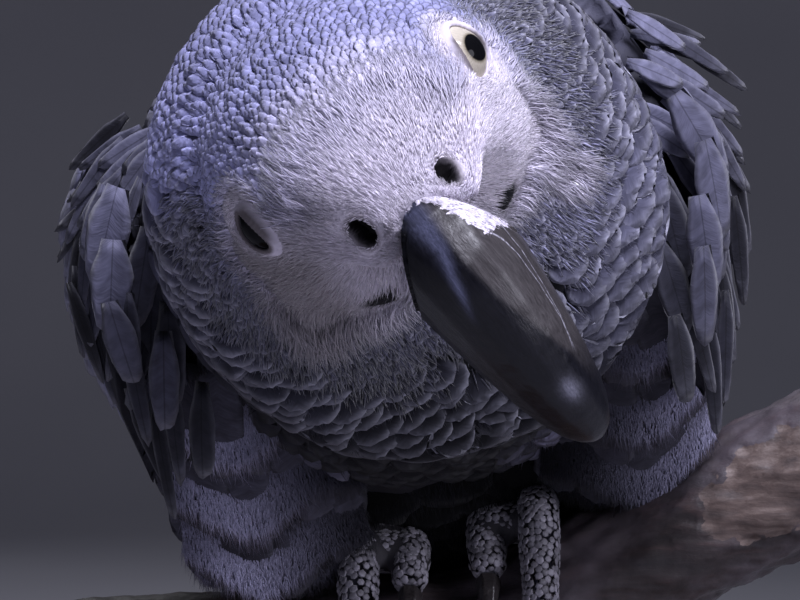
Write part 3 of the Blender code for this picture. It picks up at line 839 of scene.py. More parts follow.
RUFF_RADIUS = 0.0362
HEAD_ROLL = math.radians(39.0)
BODY_ROLL = math.radians(9.0)
HEAD_ROWS = 80
BODY_ROWS = 120
NET_COLUMNS = 180


def soften(net, passes, closed):
    for _ in range(passes):
        inner = net[1:-1] * 0.5 + (net[:-2] + net[2:]) * 0.25
        net = np.concatenate([net[:1], inner, net[-1:]])
        if closed:
            net = net * 0.5 + (np.roll(net, 1, axis=1) + np.roll(net, -1, axis=1)) * 0.25
        else:
            side = net[:, 1:-1] * 0.5 + (net[:, :-2] + net[:, 2:]) * 0.25
            net = np.concatenate([net[:, :1], side, net[:, -1:]], axis=1)
    return net


def spaced(lines, count):
    """Each column of points at even steps along its own length."""
    steps = length_of(np.diff(lines, axis=0))
    reach = np.concatenate([np.zeros((1, lines.shape[1])), np.cumsum(steps, axis=0)])
    made = np.zeros((count, *lines.shape[1:]))
    for c in range(lines.shape[1]):
        wanted = np.linspace(0, reach[-1, c], count)
        for a in range(3):
            made[:, c, a] = np.interp(wanted, reach[:, c], lines[:, c, a])
    return made


def head_ring(section, angles):
    """A ring round the head, leaning as the face does."""
    y, z, half, up, down, lean = section
    tilt = math.radians(lean)
    sideways = np.cos(angles) * half
    upward = np.sin(angles) * np.where(np.sin(angles) > 0, up, down)
    local = stacked(sideways, y - math.sin(tilt) * upward, z + math.cos(tilt) * upward)
    return local * MM @ HEAD_ROTATION.T + np.array(HEAD_ORIGIN)


def upright_ring(turned):
    return stacked(np.cos(turned), np.zeros_like(turned), np.sin(turned))


def body_rings(tree, angles):
    """Rings of the trunk's and thighs' outer surface."""
    table = np.array(BODY_RINGS)
    along = np.linspace(table[0, 0], table[-1, 0], 90)
    headings = upright_ring(angles + HEAD_ROLL - BODY_ROLL) @ BODY_ROTATION.T
    reach = np.zeros((len(along), len(angles)))
    centres = np.zeros((len(along), 3))
    for r, y in enumerate(along):
        centres[r] = from_body(0.0, y, np.interp(y, table[:, 0], table[:, 1]))
        last = 0.005
        for c, heading in enumerate(headings):
            hit = tree.ray_cast(Vector(centres[r] + heading * 0.062), Vector(-heading), 0.062)
            last = 0.062 - hit[3] if hit[0] is not None else last
            reach[r, c] = last
    reach = soften(reach, 5, True)
    return centres[:, None] + headings[None] * reach[..., None]


def body_net():
    """The outer surface from the bill's base to the tail: rows cross the lie of the feathers."""
    names = [part + side for part in ("thigh_", "eye_") for side in SIDES]
    mesh = remeshed(merged("cere", "head", "neck", "trunk", *names), "flesh", 0.0012, 2)
    tree = tree_of(form_of(mesh))
    bpy.data.meshes.remove(mesh)
    angles = np.linspace(0, 2 * math.pi, NET_COLUMNS, endpoint=False)
    rings = [head_ring(section, angles) for section in HEAD_RINGS]
    rings.append(np.array(RUFF_CENTRE) + upright_ring(angles + HEAD_ROLL) * RUFF_RADIUS)
    trunk = body_rings(tree, angles)
    head = snapped(tree, soften(spaced(np.array(rings), HEAD_ROWS * 2), 6, True))
    throat = spaced(np.array([rings[-1], trunk[0]]), 12)[1:-1]
    rear = np.concatenate([head[-1:], snapped(tree, throat), trunk])
    net = np.concatenate([spaced(head, HEAD_ROWS), spaced(rear, BODY_ROWS + 1)[1:]])
    return soften(net, 4, True)


def snapped(tree, net):
    """The net drawn onto the nearest surface."""
    flat = net.reshape(-1, 3)
    made = np.array([tree.find_nearest(Vector(point))[0] for point in flat])
    return made.reshape(net.shape)


def coat_depth(points):
    """How deep the skin lies under the feathers' tips, in metres."""
    head = in_head(points)
    body = in_body(points)
    front = ease(-12.0, 4.0, head[..., 1])
    depth = 0.0004 + 0.0007 * front
    for pupil in PUPILS.values():
        depth = depth - (depth - 0.0003) * ease(9.0, 5.0, gap_from(head, pupil))
    neck = ease(8.0, 16.0, head[..., 1])
    trunk = ease(-56.0, -44.0, body[..., 1])
    rear = ease(60.0, 88.0, body[..., 1])
    return depth + 0.0010 * neck + 0.0010 * trunk - 0.0016 * rear


@functools.cache
def body_lie():
    """The skin's surface from bill to tail, with the lie running backward."""
    outer = Lie(body_net(), True)
    return Lie(outer.points - outer.normals * coat_depth(outer.points)[..., None], True)


WING_NET_ROWS = 150
WING_NET_COLUMNS = 60


@functools.cache
def wing_net(side):
    """The outer surface of a wing: rows run from the wrist back, columns from top to bottom."""
    form = merged("wing_" + side)
    points = in_body(np.array([v.co for v in form.verts]))
    edges = np.array([[v.index for v in e.verts] for e in form.edges])
    tree = tree_of(form)
    low, high = points[:, 1].min() + 0.4, points[:, 1].max() - 0.4
    net = np.zeros((WING_NET_ROWS, WING_NET_COLUMNS, 3))
    start, end = points[edges[:, 0]], points[edges[:, 1]]
    inward = BODY_TURN @ Vector((-SIGNS[side], 0.0, 0.0))
    drop = 16.0 if side == "right" else 2.0
    for r, y in enumerate(np.linspace(low, high, WING_NET_ROWS)):
        crossing = (start[:, 1] - y) * (end[:, 1] - y) < 0
        a, b = start[crossing], end[crossing]
        heights = (a + (b - a) * ((y - a[:, 1]) / (b[:, 1] - a[:, 1]))[:, None])[:, 2]
        bottom = heights.min()
        top = heights.max() - drop * float(ease(30.0, -20.0, y))
        for c, v in enumerate(np.linspace(0.02, 0.98, WING_NET_COLUMNS)):
            origin = from_body(SIGNS[side] * 90.0, y, top + (bottom - top) * v)
            spot = tree.ray_cast(origin, inward)[0]
            net[r, c] = spot if spot is not None else net[r, max(c - 1, 0)]
    return soften(net, 6, False)


def wing_lie(side):
    """The surface that carries a wing's feathers, inside the solid and thinner to the tips."""
    outer = Lie(wing_net(side), False, -SIGNS[side])
    thin = ease(1.0, 0.45, np.linspace(0, 1, outer.rows))[:, None, None]
    return Lie(outer.points - outer.normals * 0.0036 * (0.2 + 0.8 * thin), False, -SIGNS[side])


# -------- colours over the bird

FACE_PATCH = (
    ((8.0, -14.0, -2.0), (14.0, -8.0, -4.0)),
    ((14.0, -8.0, -4.0), (19.5, 1.0, -6.0)),
    ((14.0, -8.0, -5.0), (17.5, 1.0, -13.0)),
    ((17.5, 1.0, -13.0), (18.0, 6.0, -20.0)),
    ((9.0, -12.0, -7.0), (9.5, -3.0, -16.0)),
    ((9.5, -3.0, -16.0), (12.0, 4.0, -22.0)),
)
FACE_PATCH_RADIUS = 8.6
GAPE = (
    ((10.8, 1.8, -22.3), (11.8, 5.0, -29.5)),
    ((11.8, 5.0, -29.5), (8.0, 4.0, -38.0)),
)


def to_segment(points, start, end):
    start, end = np.array(start), np.array(end)
    line = end - start
    part = np.clip((points - start) @ line / (line @ line), 0, 1)[..., None]
    return length_of(points - start - part * line)


def gap_to(points, segments):
    """Distance to segments that are the same on both sides of the head."""
    near = in_head(points)
    near[..., 0] = np.abs(near[..., 0])
    return np.min([to_segment(near, start, end) for start, end in segments], axis=0)


def gape(points):
    """1 in the mouth's corner between bill and cheeks: dark skin, deepened to near black as painted
    shadow.
    """
    return ease(3.3, 2.1, gap_to(points, GAPE))


def whiteness(points):
    """1 on the bare white face, 0 on the grey plumage."""
    near = in_head(points)
    gap = gap_to(points, FACE_PATCH)
    far = to_segment(near, (17.5, 6.0, -18.0), (18.5, 7.5, -26.0))
    gap = np.minimum(gap + ease(2.0, 9.0, near[..., 0]) * 0.8, far + 2.9)
    near[..., 0] = np.abs(near[..., 0])
    patch = ease(FACE_PATCH_RADIUS, 3.5, gap)
    ring = ease(8.0, 5.6, gap_from(near, (17.0, -1.8, 0.5)))
    brow = ease(19.0, 3.0, gap_from(near, (3.0, -14.0, 3.0)))
    return np.clip(np.maximum(np.maximum(patch, ring), brow * 0.85), 0, 1)


def flank_share(points):
    """1 on the fluffy flanks and thighs."""
    body = in_body(points)
    out = ease(9.0, 22.0, np.abs(body[..., 0]))
    low = ease(-6.0, -20.0, body[..., 2])
    return out * low * ease(-44.0, -28.0, body[..., 1]) * ease(70.0, 50.0, body[..., 1])


def painted_throat_light(body):
    """Painted shade: 1 on the sides of the head, falling towards the throat as if in shadow."""
    return np.interp(body[..., 2], (-26.0, -20.0, -12.0, -3.0, 6.0), (0.05, 0.10, 0.32, 0.70, 1.0))


def plumage(points):
    """Colour of the feathers and of the skin under them."""
    settings = plumage_settings()
    head = in_head(points)
    body = in_body(points)
    up = head[..., 2] + 0.55 * head[..., 1]
    crown = ease(-6.0, 4.0, up + 0.25 * np.abs(head[..., 0]))
    colour = mix(settings.cheek_colour, settings.crown_colour, crown)
    # Painted light: the crown's right side is made paler, as if lit
    painted_crown_light = ease(-8.0, -20.0, head[..., 0]) * ease(-2.0, 4.0, head[..., 2])
    colour = np.minimum(colour * (1 + 0.5 * painted_crown_light)[..., None], 0.7)
    ruff = ease(7.0, 15.0, head[..., 1]) * ease(4.0, -3.0, head[..., 2])
    colour = mix(colour, settings.ruff_colour, ruff)
    # Painted shade: the head's colours darken towards the throat
    colour = colour * painted_throat_light(body)[..., None]
    trunk = ease(-60.0, -50.0, body[..., 1])
    belly = ease(16.0, -8.0, body[..., 2])
    trunk_colour = mix(settings.back_colour, settings.shaded_breast_colour, belly)
    trunk_colour = mix(trunk_colour, settings.flank_colour, flank_share(points))
    rump = ease(48.0, 70.0, body[..., 1])
    trunk_colour = mix(trunk_colour, settings.rump_colour, rump)
    colour = mix(colour, trunk_colour, trunk)
    vent = ease(76.0, 86.0, body[..., 1])
    colour = mix(colour, settings.tail_colour, vent)
    # Painted shade: the lower middle of the body is darkened
    shade = ease(-4.0, -26.0, body[..., 2]) * ease(22.0, 8.0, np.abs(body[..., 0]))
    colour = colour * (1 - 0.5 * shade)[..., None]
    # Painted shade: the white face turns grey-beige low on its right side, where shadow falls
    painted_face_shade = ease(-9.0, -16.0, head[..., 0]) * ease(3.0, -7.0, head[..., 2])
    face = mix(settings.face_colour, (0.36, 0.32, 0.33), 0.85 * painted_face_shade)
    colour = mix(colour, face, whiteness(points))
    # Painted shadow: the corner of the mouth is made near black
    return mix(colour, (0.010, 0.010, 0.013), gape(points))


# -------- flow round eyes and nostrils


def feature_places():
    """Eyes and nostrils, with the radius that feathers keep off."""
    places = []
    for side in SIDES:
        places.append((from_head(*PUPILS[side]), 0.0038 if side == "left" else 0.0033))
        places.append((from_head(*NOSTRILS[side]), 0.0021))
    return places


def part_round(lie, row, column):
    """Turn of each feather so that it passes round eyes and nostrils, and which ones clear them."""
    spots = lie.spot(row, column)
    along = unit(lie.at(lie.along, row, column))
    normal = lie.at(lie.normals, row, column)
    sideways = np.cross(normal, along)
    turn = np.zeros(len(row))
    clear = np.ones(len(row), bool)
    for centre, radius in feature_places():
        offset = spots - np.array(centre)
        x = (offset * along).sum(-1)
        y = (offset * sideways).sum(-1)
        reach = length_of(offset)
        clear &= reach > radius
        flat = np.maximum(np.hypot(x, y), radius * 1.001)
        share = (radius / flat) ** 2
        angle = 2 * np.arctan2(y, x)
        vx = 1 - share * np.cos(angle)
        vy = -share * np.sin(angle)
        near = reach < radius * 4
        turn += np.where(near, np.arctan2(vy, np.maximum(vx, 0.05)), 0.0)
    return turn, clear


# -------- operators


class ParrotOperator:
    bl_options = {"REGISTER", "UNDO"}


def leg_nodes(side):
    return ["tarsus_" + side, "foot_" + side] + ["toe_" + toe + "_" + side for toe in TOES]


def staggered_rows(lie, rng, lines, count, overlap, jitter=0.1):
    """Roots in staggered lines: row, column, width and length of each feather. Lines are
    places between rows of the lie, and count is the number of feathers side by side."""
    rows, columns, widths, lengths = [], [], [], []
    for number, (row, following) in enumerate(zip(lines, lines[1:])):
        step = following - row
        place = (np.arange(count) + 0.5 * (number % 2)) / count * lie.columns
        place = place + rng.normal(0, jitter, count) * lie.columns / count
        here = row + rng.normal(0, jitter, count) * step
        along, across = lie.steps_at(here, place)
        rows.append(here)
        columns.append(place)
        widths.append(across * lie.columns / count)
        lengths.append(along * step * overlap)
    return tuple(np.concatenate(v) for v in (rows, columns, widths, lengths))


def frills(coat, lie, row, column, width, length, lift, turn, colour, each, spread=0.8):
    """Loose pale barbs at the tips of feathers already laid."""
    shape = HairShape(1)
    total = len(row)
    along, across = lie.steps_at(row, column)
    for k in range(each):
        aside = (k + 0.5) / each * 2 - 1 + coat.rng.normal(0, 0.06, total)
        out = length * (0.62 - 0.20 * aside**2 + coat.rng.uniform(-0.12, 0.04, total))
        slope = turn + aside * 0.45 * spread + coat.rng.normal(0, 0.16, total)
        coat.lay(
            lie, shape, row + out / along, column + aside * width * 0.46 * spread / across,
            length * coat.rng.uniform(0.30, 0.50, total), 0.00011 + 0.03 * width,
            colour * coat.rng.uniform(0.7, 1.25, (total, 1)), 0.0,
            lift=lift * coat.rng.uniform(-0.1, 0.3, total), camber=0.3, turn=slope,
            raise_by=lift * (0.9 - 0.2 * aside**2),
        )


def add_wing_arm(form, side):
    """The thick front part of a wing, closed where it is cut off."""
    arm = merged("wing_" + side)
    top = 60 if side == "left" else 25
    for place, heading in (((0, 16, 0), (0, 1, 0)), ((0, -30, top), (0, -0.35, 1))):
        cut = bmesh.ops.bisect_plane(
            arm, geom=arm.verts[:] + arm.edges[:] + arm.faces[:],
            plane_co=from_body(*place), plane_no=BODY_TURN @ Vector(heading), clear_outer=True,
        )["geom_cut"]
        rim = [e for e in cut if isinstance(e, bmesh.types.BMEdge)]
        if rim:
            bmesh.ops.edgeloop_fill(arm, edges=rim)
    bmesh.ops.triangulate(arm, faces=arm.faces)
    inward = BODY_TURN @ Vector((-0.0032 * SIGNS[side], 0, -0.003))
    bmesh.ops.translate(arm, verts=arm.verts, vec=inward)
    mesh = meshed(arm, "wing_arm")
    form.from_mesh(mesh)
    bpy.data.meshes.remove(mesh)


def refine(mesh):
    """A closer net round eyes, nostrils and the bill's edge."""
    form = form_of(mesh)
    for reach in (1.0, 0.8):
        head = in_head(np.array([v.co for v in form.verts]))
        near = (np.abs(horn_border(head) + 1.4) < 3.2 * reach) & (head[:, 1] < -9.0)
        near &= head[:, 2] > -12
        for side in SIDES:
            near |= gap_from(head, NOSTRILS[side]) < 4.5 * reach
            near |= gap_from(head, PUPILS[side]) < 6.5 * reach
        form.verts.index_update()
        edges = [e for e in form.edges if near[e.verts[0].index] and near[e.verts[1].index]]
        bmesh.ops.subdivide_edges(form, edges=edges, cuts=1, use_grid_fill=True, smooth=0.6)
    form.to_mesh(mesh)
    form.free()


class PARROT_OT_skin(ParrotOperator, bpy.types.Operator):
    """One skin over head, neck, trunk, wing arms, legs and feet"""

    bl_idname = "parrot.skin"
    bl_label = "Skin"

    def execute(self, context):
        flesh = ["cere", "head", "neck", "trunk"]
        for side in SIDES:
            flesh += ["thigh_" + side, *leg_nodes(side)]
        form = merged(*flesh, "eye_left", "eye_right")
        for side in SIDES:
            add_wing_arm(form, side)
        mesh = remeshed(form, "skin", 0.00115, 3)
        refine(mesh)
        points, normals = surface_of(mesh)
        head, body = in_head(points), in_body(points)
        leg = ease(PERCH_TOP + 0.017, PERCH_TOP + 0.009, points[:, 2])
        leg = leg * ease(0.014, 0.010, np.abs(points[:, 1]))
        depth = (coat_depth(points) + 0.0003) * (1 - leg)
        edge = horn_border(head)
        front = ease(-6.0, -10.0, head[:, 1])
        step = ease(-3.0, -1.0, edge) * ease(1.5, 0.2, edge)
        depth = depth - 0.00025 * step * front
        tail_end = ease(80.0, 90.0, body[:, 1])
        moved = points - normals * (depth * (1 - 0.5 * tail_end))[:, None]
        colours = plumage(points) * 0.8
        wing_arm = ease(31.0, 36.0, np.abs(body[:, 0]))
        colours = mix(colours, (0.015, 0.015, 0.022), wing_arm * ease(-68, -62, body[:, 1]))
        colours = mix(colours, (0.045, 0.043, 0.050), leg)
        for side in SIDES:
            gap = length_of((head - np.array(NOSTRILS[side])) * (1.0, 0.8, 0.8))
            moved -= normals * (0.0022 * ease(1.75, 1.05, gap))[:, None]
            moved += normals * (0.00012 * np.exp(-(((gap - 2.5) / 0.6) ** 2)))[:, None]
            # The nostril's rim is darker and its hole is painted near black as the shade inside it
            colours = mix(colours, (0.16, 0.14, 0.15), 0.7 * ease(2.6, 1.9, gap))
            colours = mix(colours, (0.006, 0.005, 0.006), ease(1.9, 1.45, gap))
            gaze = np.array(GAZES[side]) / np.linalg.norm(GAZES[side])
            from_pupil = head - np.array(PUPILS[side])
            flat = length_of(from_pupil - (from_pupil @ gaze)[:, None] * gaze)
            near = (length_of(from_pupil) < 6.0) & (from_pupil @ gaze > -4.0)
            moved -= normals * (0.0022 * ease(4.1, 3.0, flat) * near)[:, None]
        wave = edge + wobble(head, 0.5, 12) * 0.2
        for place, size in ((-0.3, 0.00022), (-0.95, 0.00014), (-1.5, 0.00009)):
            moved += normals * (size * np.exp(-(((wave - place) / 0.22) ** 2)) * front)[:, None]
        folds = wobble(head, 1.1, 3) * 0.00010 + wobble(head, 2.6, 4) * 0.00006
        moved += normals * (folds * whiteness(points) * (1 - leg))[:, None]
        move_points(mesh, moved)
        tint_points(mesh, colours)
        surface = (0.7, 0.0, 0.0, 0.2)
        skin = speckled_material("parrot_skin", surface, 240.0, 2600.0, 0.78, 0.4, 0.00015)
        settle("skin", mesh, skin, flesh)
        return {"FINISHED"}


def down_the_bill(head):
    """How far points lie down the bill's own slope, in millimetres."""
    return -0.847 * head[..., 2] - 0.53 * head[..., 1]


def horn_border(head):
    """Distance below the arched edge where the cere ends and the bill's horn begins."""
    arch = 10.3 + 0.165 * np.minimum(np.abs(head[..., 0]), 8.0) ** 2
    return down_the_bill(head) - arch


def off_the_horn(points, gap):
    """Whether points lie behind the bill's horn by at least a gap."""
    head = in_head(points)
    return (horn_border(head) < -gap) | (head[:, 1] > -8.0) | (head[:, 2] < -13.5)


def fuzz_share(lie, row, column):
    """1 where the face has hair-like wisps only, 0 where feathers grow."""
    white = whiteness(lie.spot(row, column))
    return np.maximum(ease(0.2, 0.75, white), ease(19.0, 7.0, row))


CHEEK_HAIRS = 10400


def grow_wisps(
    coat, row, column, chance, number, short, extra, width, stand, stray,
    tones=(0.86, 1.06),
):
    """Lay wisps that pass round eyes and nostrils, longer away from the bill."""
    lie, rng = body_lie(), coat.rng
    pick = rng.choice(len(chance), number, p=chance / chance.sum())
    row = row[pick] + rng.uniform(-0.5, 0.5, number)
    column = column[pick] + rng.uniform(-0.5, 0.5, number)
    turn, clear = part_round(lie, row, column)
    clear &= off_the_horn(lie.spot(row, column), 0.45)
    row, column, turn = row[clear], column[clear], turn[clear]
    places = lie.spot(row, column)
    local = in_head(places)
    away = ease(2.0, 22.0, row) * ease(14.0, -2.0, local[:, 2])
    length = (short + extra * away) * rng.uniform(0.7, 1.35, len(row))
    for centre, radius in feature_places():
        gap = gap_from(places, centre)
        length *= 0.45 + 0.55 * ease(radius, radius * 2.2, gap)
    colour = plumage(places) * rng.uniform(*tones, (len(row), 1))
    streak = wobble(local, 0.9, 31)[:, None] * 0.08
    coat.lay(
        lie, HairShape(2), row, column, length, width * rng.uniform(0.8, 1.3, len(row)),
        np.clip(colour * (1 + streak), 0, 0.95), 0.0,
        lift=length * rng.uniform(*stand, len(row)), camber=0.25,
        turn=turn + rng.normal(0, stray, len(row)), sink=0.0002,
        curl=rng.uniform(-0.4, 0.9, len(row)).mean(),
    )


class PARROT_OT_face_wisps(ParrotOperator, bpy.types.Operator):
    """Fine white hair-like feathers of the face and the base of the bill"""

    bl_idname = "parrot.face_wisps"
    bl_label = "Face wisps"

    def execute(self, context):
        lie = body_lie()
        number = plumage_settings().face_wisps
        material = feather_material("face_wisps", 1.0, 0.03, 0.0, 0.9, 0.3)
        row, column = (np.mgrid[-3:66, 0:NET_COLUMNS] + 0.5).reshape(2, -1)
        spots = lie.spot(row, column)
        face = in_head(spots)
        edges = (lie.at(net, row, column) for net in (lie.along, lie.across))
        area = length_of(np.cross(*edges))
        share = fuzz_share(lie, row, column)
        weight = area * ease(0.02, 0.35, share) * (1 - 0.9 * gape(spots))
        margin = ease(0.12, 0.4, share) * ease(1.0, 0.5, share)
        cheek = area * ease(0.75, 0.3, share) * ease(62, 50, row)
        cheek = cheek * ease(16, 22, row) * (face[:, 2] < 1.0) * (gape(spots) < 0.05)
        for n, side in enumerate(SIDES):
            own = face[:, 0] * SIGNS[side] > 0
            coat = Coat(11 + n)
            chance = weight * own
            grow_wisps(
                coat, row, column, chance, number, 0.0009, 0.0013, 0.00011, (0.02, 0.10), 0.12
            )
            chance = chance * margin * ease(6.0, 12.0, row)
            grow_wisps(
                coat, row, column, chance, number // 3, 0.0020, 0.0028, 0.00015, (0.12, 0.28), 0.2,
            )
            coat.piece("face_wisps_" + side, material)
            coat = Coat(15 + n)
            grow_wisps(
                coat, row, column, cheek * own, CHEEK_HAIRS, 0.0017, 0.0012, 0.00024, (0.10, 0.30),
                0.22, (0.35, 1.9),
            )
            coat.piece("cheek_hairs_" + side, material)
        return {"FINISHED"}


def scallops(name, lie, rng, lines, count, overlap, shape, barbs, seed):
    """Rounded feathers of one size over their part of the head."""
    row, column, width, length = staggered_rows(lie, rng, lines, count, overlap, 0.14)
    turn, clear = part_round(lie, row, column)
    share = fuzz_share(lie, row, column)
    spots = lie.spot(row, column)
    low = ease(3.5, 0.5, in_head(spots)[:, 2] + rng.normal(0, 0.6, len(row)))
    arched = (low > 0.5) & (row > 54 + rng.normal(0, 1.2, len(row)))
    keep = clear & (share < 0.72) & off_the_horn(spots, 2.0) & (arched == (name == "ruff"))
    keep &= away_from_lower_bill(spots) & (gape(spots) < 0.4)
    row, column, width, length, turn, share, spots, low = (
        v[keep] for v in (row, column, width, length, turn, share, spots, low)
    )
    total = len(row)
    size = rng.uniform(0.86, 1.12, total)
    length = np.clip(length, width * 0.7, width * 2.9) * (1 - 0.40 * share) * size
    width = width * (1 - 0.25 * share) * size
    turn = turn + rng.normal(0, 0.10 + 0.06 * low, total)
    # Painted shade: lower feathers are darker, and their rims and pale barbs dim towards the throat
    light = painted_throat_light(in_body(spots))
    colour = plumage(spots) * rng.uniform(0.80, 1.16, (total, 1))
    colour = colour * (1 - (0.30 if name == "crown" else 0.45) * low * (1 - share))[:, None]
    camber, curl, rim = 0.17 - 0.13 * low, 0.30 * (1 - low), 0.35 + 0.65 * low * light
    lift = length * (0.22 if name == "crown" else 0.13) * rng.uniform(0.8, 1.25, total)
    pale = mix(colour, (0.55, 0.55, 0.74), (0.14 + 0.16 * low) * light)
    coat = Coat(seed)
    coat.lay(
        lie, shape, row, column, length, width * 1.08, colour, rim, lift=lift, camber=camber,
        turn=turn, curl=curl, jag=0.05,
    )
    coat.piece("head_feathers_" + name, feather_material("head_feathers", 2.6, 0.22, 0.0))
    coat = Coat(seed + 1)
    frills(coat, lie, row, column, width, length, lift, turn, pale, barbs)
    coat.piece("head_fringe_" + name, fringe_material())


class PARROT_OT_head_feathers(ParrotOperator, bpy.types.Operator):
    """Scalloped feathers of crown, nape, cheeks, throat and ruff, with frayed pale rims"""

    bl_idname = "parrot.head_feathers"
    bl_label = "Head feathers"

    def execute(self, context):
        lie = body_lie()
        count = plumage_settings().crown_count
        rng = np.random.default_rng(20)
        fine = 5.0 + 77.0 * np.linspace(0.03, 1, 62) ** 1.15
        small = VaneShape(4, 4, 0.62, 0.7)
        wide = VaneShape(10, 4, 0.34, 0.8)
        scallops("crown", lie, rng, fine, count, 2.6, small, 10, 24)
        broad = np.arange(50.0, 83.0, 1.75)
        scallops("ruff", lie, rng, broad, count * 32 // 100, 3.6, wide, 40, 21)
        return {"FINISHED"}


# The row of the net where the trunk is measured round
GIRTH_ROW = 110
# How many hairs make the down of the flanks, of a pale hanging sheet and of the dark one, which is
# painted with shade
FLANK_DOWN = 9000
PALE_DOWN = 16000
DARK_DOWN = 4000


def away_from_lower_bill(spots):
    return to_segment(in_head(spots), (0.0, -6.0, -18.0), (0.0, -16.0, -24.5)) > 5.0


def hanging_down(material):
    """Tiers of soft flank feathers that hang to the perch beside the legs, with painted shade under
    each tier and painted light on its lit part, and belly fluff behind the toes painted near black
    as shade."""
    vanes, down = Coat(46), Coat(47)
    wide = VaneShape(8, 4, 0.45, 0.8)
    # From and to across, top and bottom, front and back of the sheet, tone, and the place across
    # where painted light is strongest
    sheets = (
        (-37.5, -13.0, -10.0, -46.0, -46.0, -8.0, 0.30, -31.0),
        (17.5, 40.5, -6.0, -41.0, -50.0, -6.0, 0.20, 39.0),
        # The third sheet is the belly fluff, painted near black as shade
        (-19.0, 30.0, -30.0, -52.0, -6.0, 12.0, 0.006, 0.0),
    )
    for near, far, top, bottom, front, back, tone, lit_place in sheets:
        lie = hanging_sheet(near, far, top, bottom, front, back)
        tint = np.array((1.0, 0.98, 1.36)) * tone
        rng = vanes.rng
        lines = np.linspace(0.0, 1.0, 7) * lie.rows * 0.86
        row, column, width, length = staggered_rows(lie, rng, lines, 5, 1.9, 0.08)
        total = len(row)
        # The vanes under the down are painted dark, as shade beneath the tiers
        vanes.lay(
            lie, wide, row, column, length * rng.uniform(0.85, 1.15, total), width * 1.3,
            tint * rng.uniform(0.10, 0.16, (total, 1)), 0.1, lift=length * 0.12, camber=0.06,
            turn=rng.normal(0, 0.12, total), curl=0.8, jag=0.05,
        )
        rng = down.rng
        number = PALE_DOWN if tone > 0.1 else DARK_DOWN
        r = rng.uniform(0, 0.96, number) * lie.rows
        c = rng.uniform(-0.01, 1.01, number) * lie.columns
        place = in_body(lie.spot(r, c))
        step = lie.rows * 0.31
        # Painted shade and light: each tier's down is dark at its top, under the tier above, and
        # pale lower down near the lit place
        tier = ((r + 1.6 * np.sin(place[:, 0] * 0.32 + 1.0) + 2.0) / step) % 1.0
        pale = np.exp(-(((place[:, 0] - lit_place) / 9.0) ** 2)) * ease(0.15, 0.75, tier)
        long = rng.uniform(0.0030, 0.0070, number)
        down.lay(
            lie, HairShape(1), r, c, long, rng.uniform(0.00012, 0.00020, number),
            tint * (0.05 + 1.45 * pale)[:, None] * rng.uniform(0.85, 1.12, (number, 1)), 0.0,
            lift=long * rng.uniform(0.02, 0.13, number), camber=0.3, curl=0.7,
            turn=rng.normal(0, 0.14, number), raise_by=0.0006 + 0.0024 * tier**2,
        )
    vanes.piece("hanging_feathers", material)
    down.piece("hanging_down", fringe_material())


def hanging_sheet(near, far, top, bottom, front, back):
    """A bulging sheet in the body's frame whose rows run down and back to the perch."""
    low, aside = np.meshgrid(np.linspace(0, 1, 26), np.linspace(0, 1, 30), indexing="ij")
    bulge = 1 - (2 * aside - 1) ** 2
    x = near + (far - near) * aside
    y = front + (back - front) * low**0.85 - 5.0 * bulge * (1 - 0.7 * low)
    z = top + (bottom - top) * low**0.85 + 4.5 * (1 - bulge) * low
    points = stacked(x, y, z) * MM @ BODY_ROTATION.T + np.array(BODY_ORIGIN)
    return Lie(points, False)


class PARROT_OT_body_feathers(ParrotOperator, bpy.types.Operator):
    """Soft feathers of breast, belly, flanks, mantle and rump"""

    bl_idname = "parrot.body_feathers"
    bl_label = "Body feathers"

    def execute(self, context):
        lie = body_lie()
        pitch = plumage_settings().body_pitch
        rng = np.random.default_rng(40)
        ring = lie.points[GIRTH_ROW]
        girth = length_of(ring - np.roll(ring, 1, axis=0)).sum()
        count = int(round(girth / pitch))
        lines = np.arange(80.0, 199.0, 3.1)
        row, column, width, length = staggered_rows(lie, rng, lines, count, 2.5, 0.14)
        root = lie.spot(row, column)
        by_toes = (root[:, 2] < PERCH_TOP + 0.018) & (np.abs(root[:, 0] - 0.007) < 0.022)
        keep = (length > 0.002) & ~(by_toes & (root[:, 1] > -0.024) & (root[:, 1] < 0.0))
        row, column, width, length = (v[keep] for v in (row, column, width, length))
        width = np.clip(width, 0.0025, 0.0075)
        length = np.clip(length, width * 1.2, width * 3.0)
        spots = lie.spot(row, column)
        colour = plumage(spots) * rng.uniform(0.8, 1.2, (len(row), 1))
        turn = rng.normal(0, 0.12, len(row))
        flank = flank_share(spots)
        lift = length * (0.2 + 0.16 * flank)
        shape = VaneShape(6, 4, 0.6, 0.65)
        material = feather_material("body_feathers", 2.2, 0.28, 0.0)
        coat = Coat(41)
        # Pale rims mostly on the flanks, so the breast keeps its painted shade
        coat.lay(
            lie, shape, row, column, length, width * 1.25, colour, 0.04 + 0.4 * flank, lift=lift,
            camber=0.12, turn=turn, curl=0.1, jag=0.07,
        )
        coat.piece("body_feathers", material)
        coat = Coat(42)
        frills(coat, lie, row, column, width, length, lift, turn, colour * 1.15, 14, 0.9)
        coat.piece("body_fringe", fringe_material())
        coat = Coat(43)
        weight = flank * (row < 190)
        pick = rng.choice(len(row), FLANK_DOWN, p=weight / weight.sum())
        r = row[pick] + rng.normal(0, 1.6, len(pick))
        c = column[pick] + rng.normal(0, 2.0, len(pick))
        place = lie.spot(r, c)
        long = rng.uniform(0.005, 0.010, len(pick))
        band = wobble(in_body(place), 0.22, 44)[:, None]
        coat.lay(
            lie, HairShape(2), r, c, long, rng.uniform(0.0002, 0.0004, len(pick)),
            np.clip(plumage(place) * (1.05 + 0.45 * band), 0.01, 0.9), 0.0,
            lift=long * rng.uniform(0.15, 0.42, len(pick)), camber=0.3,
            turn=rng.normal(0, 0.22, len(pick)),
        )
        coat.piece("flank_down", fringe_material())
        hanging_down(material)
        return {"FINISHED"}


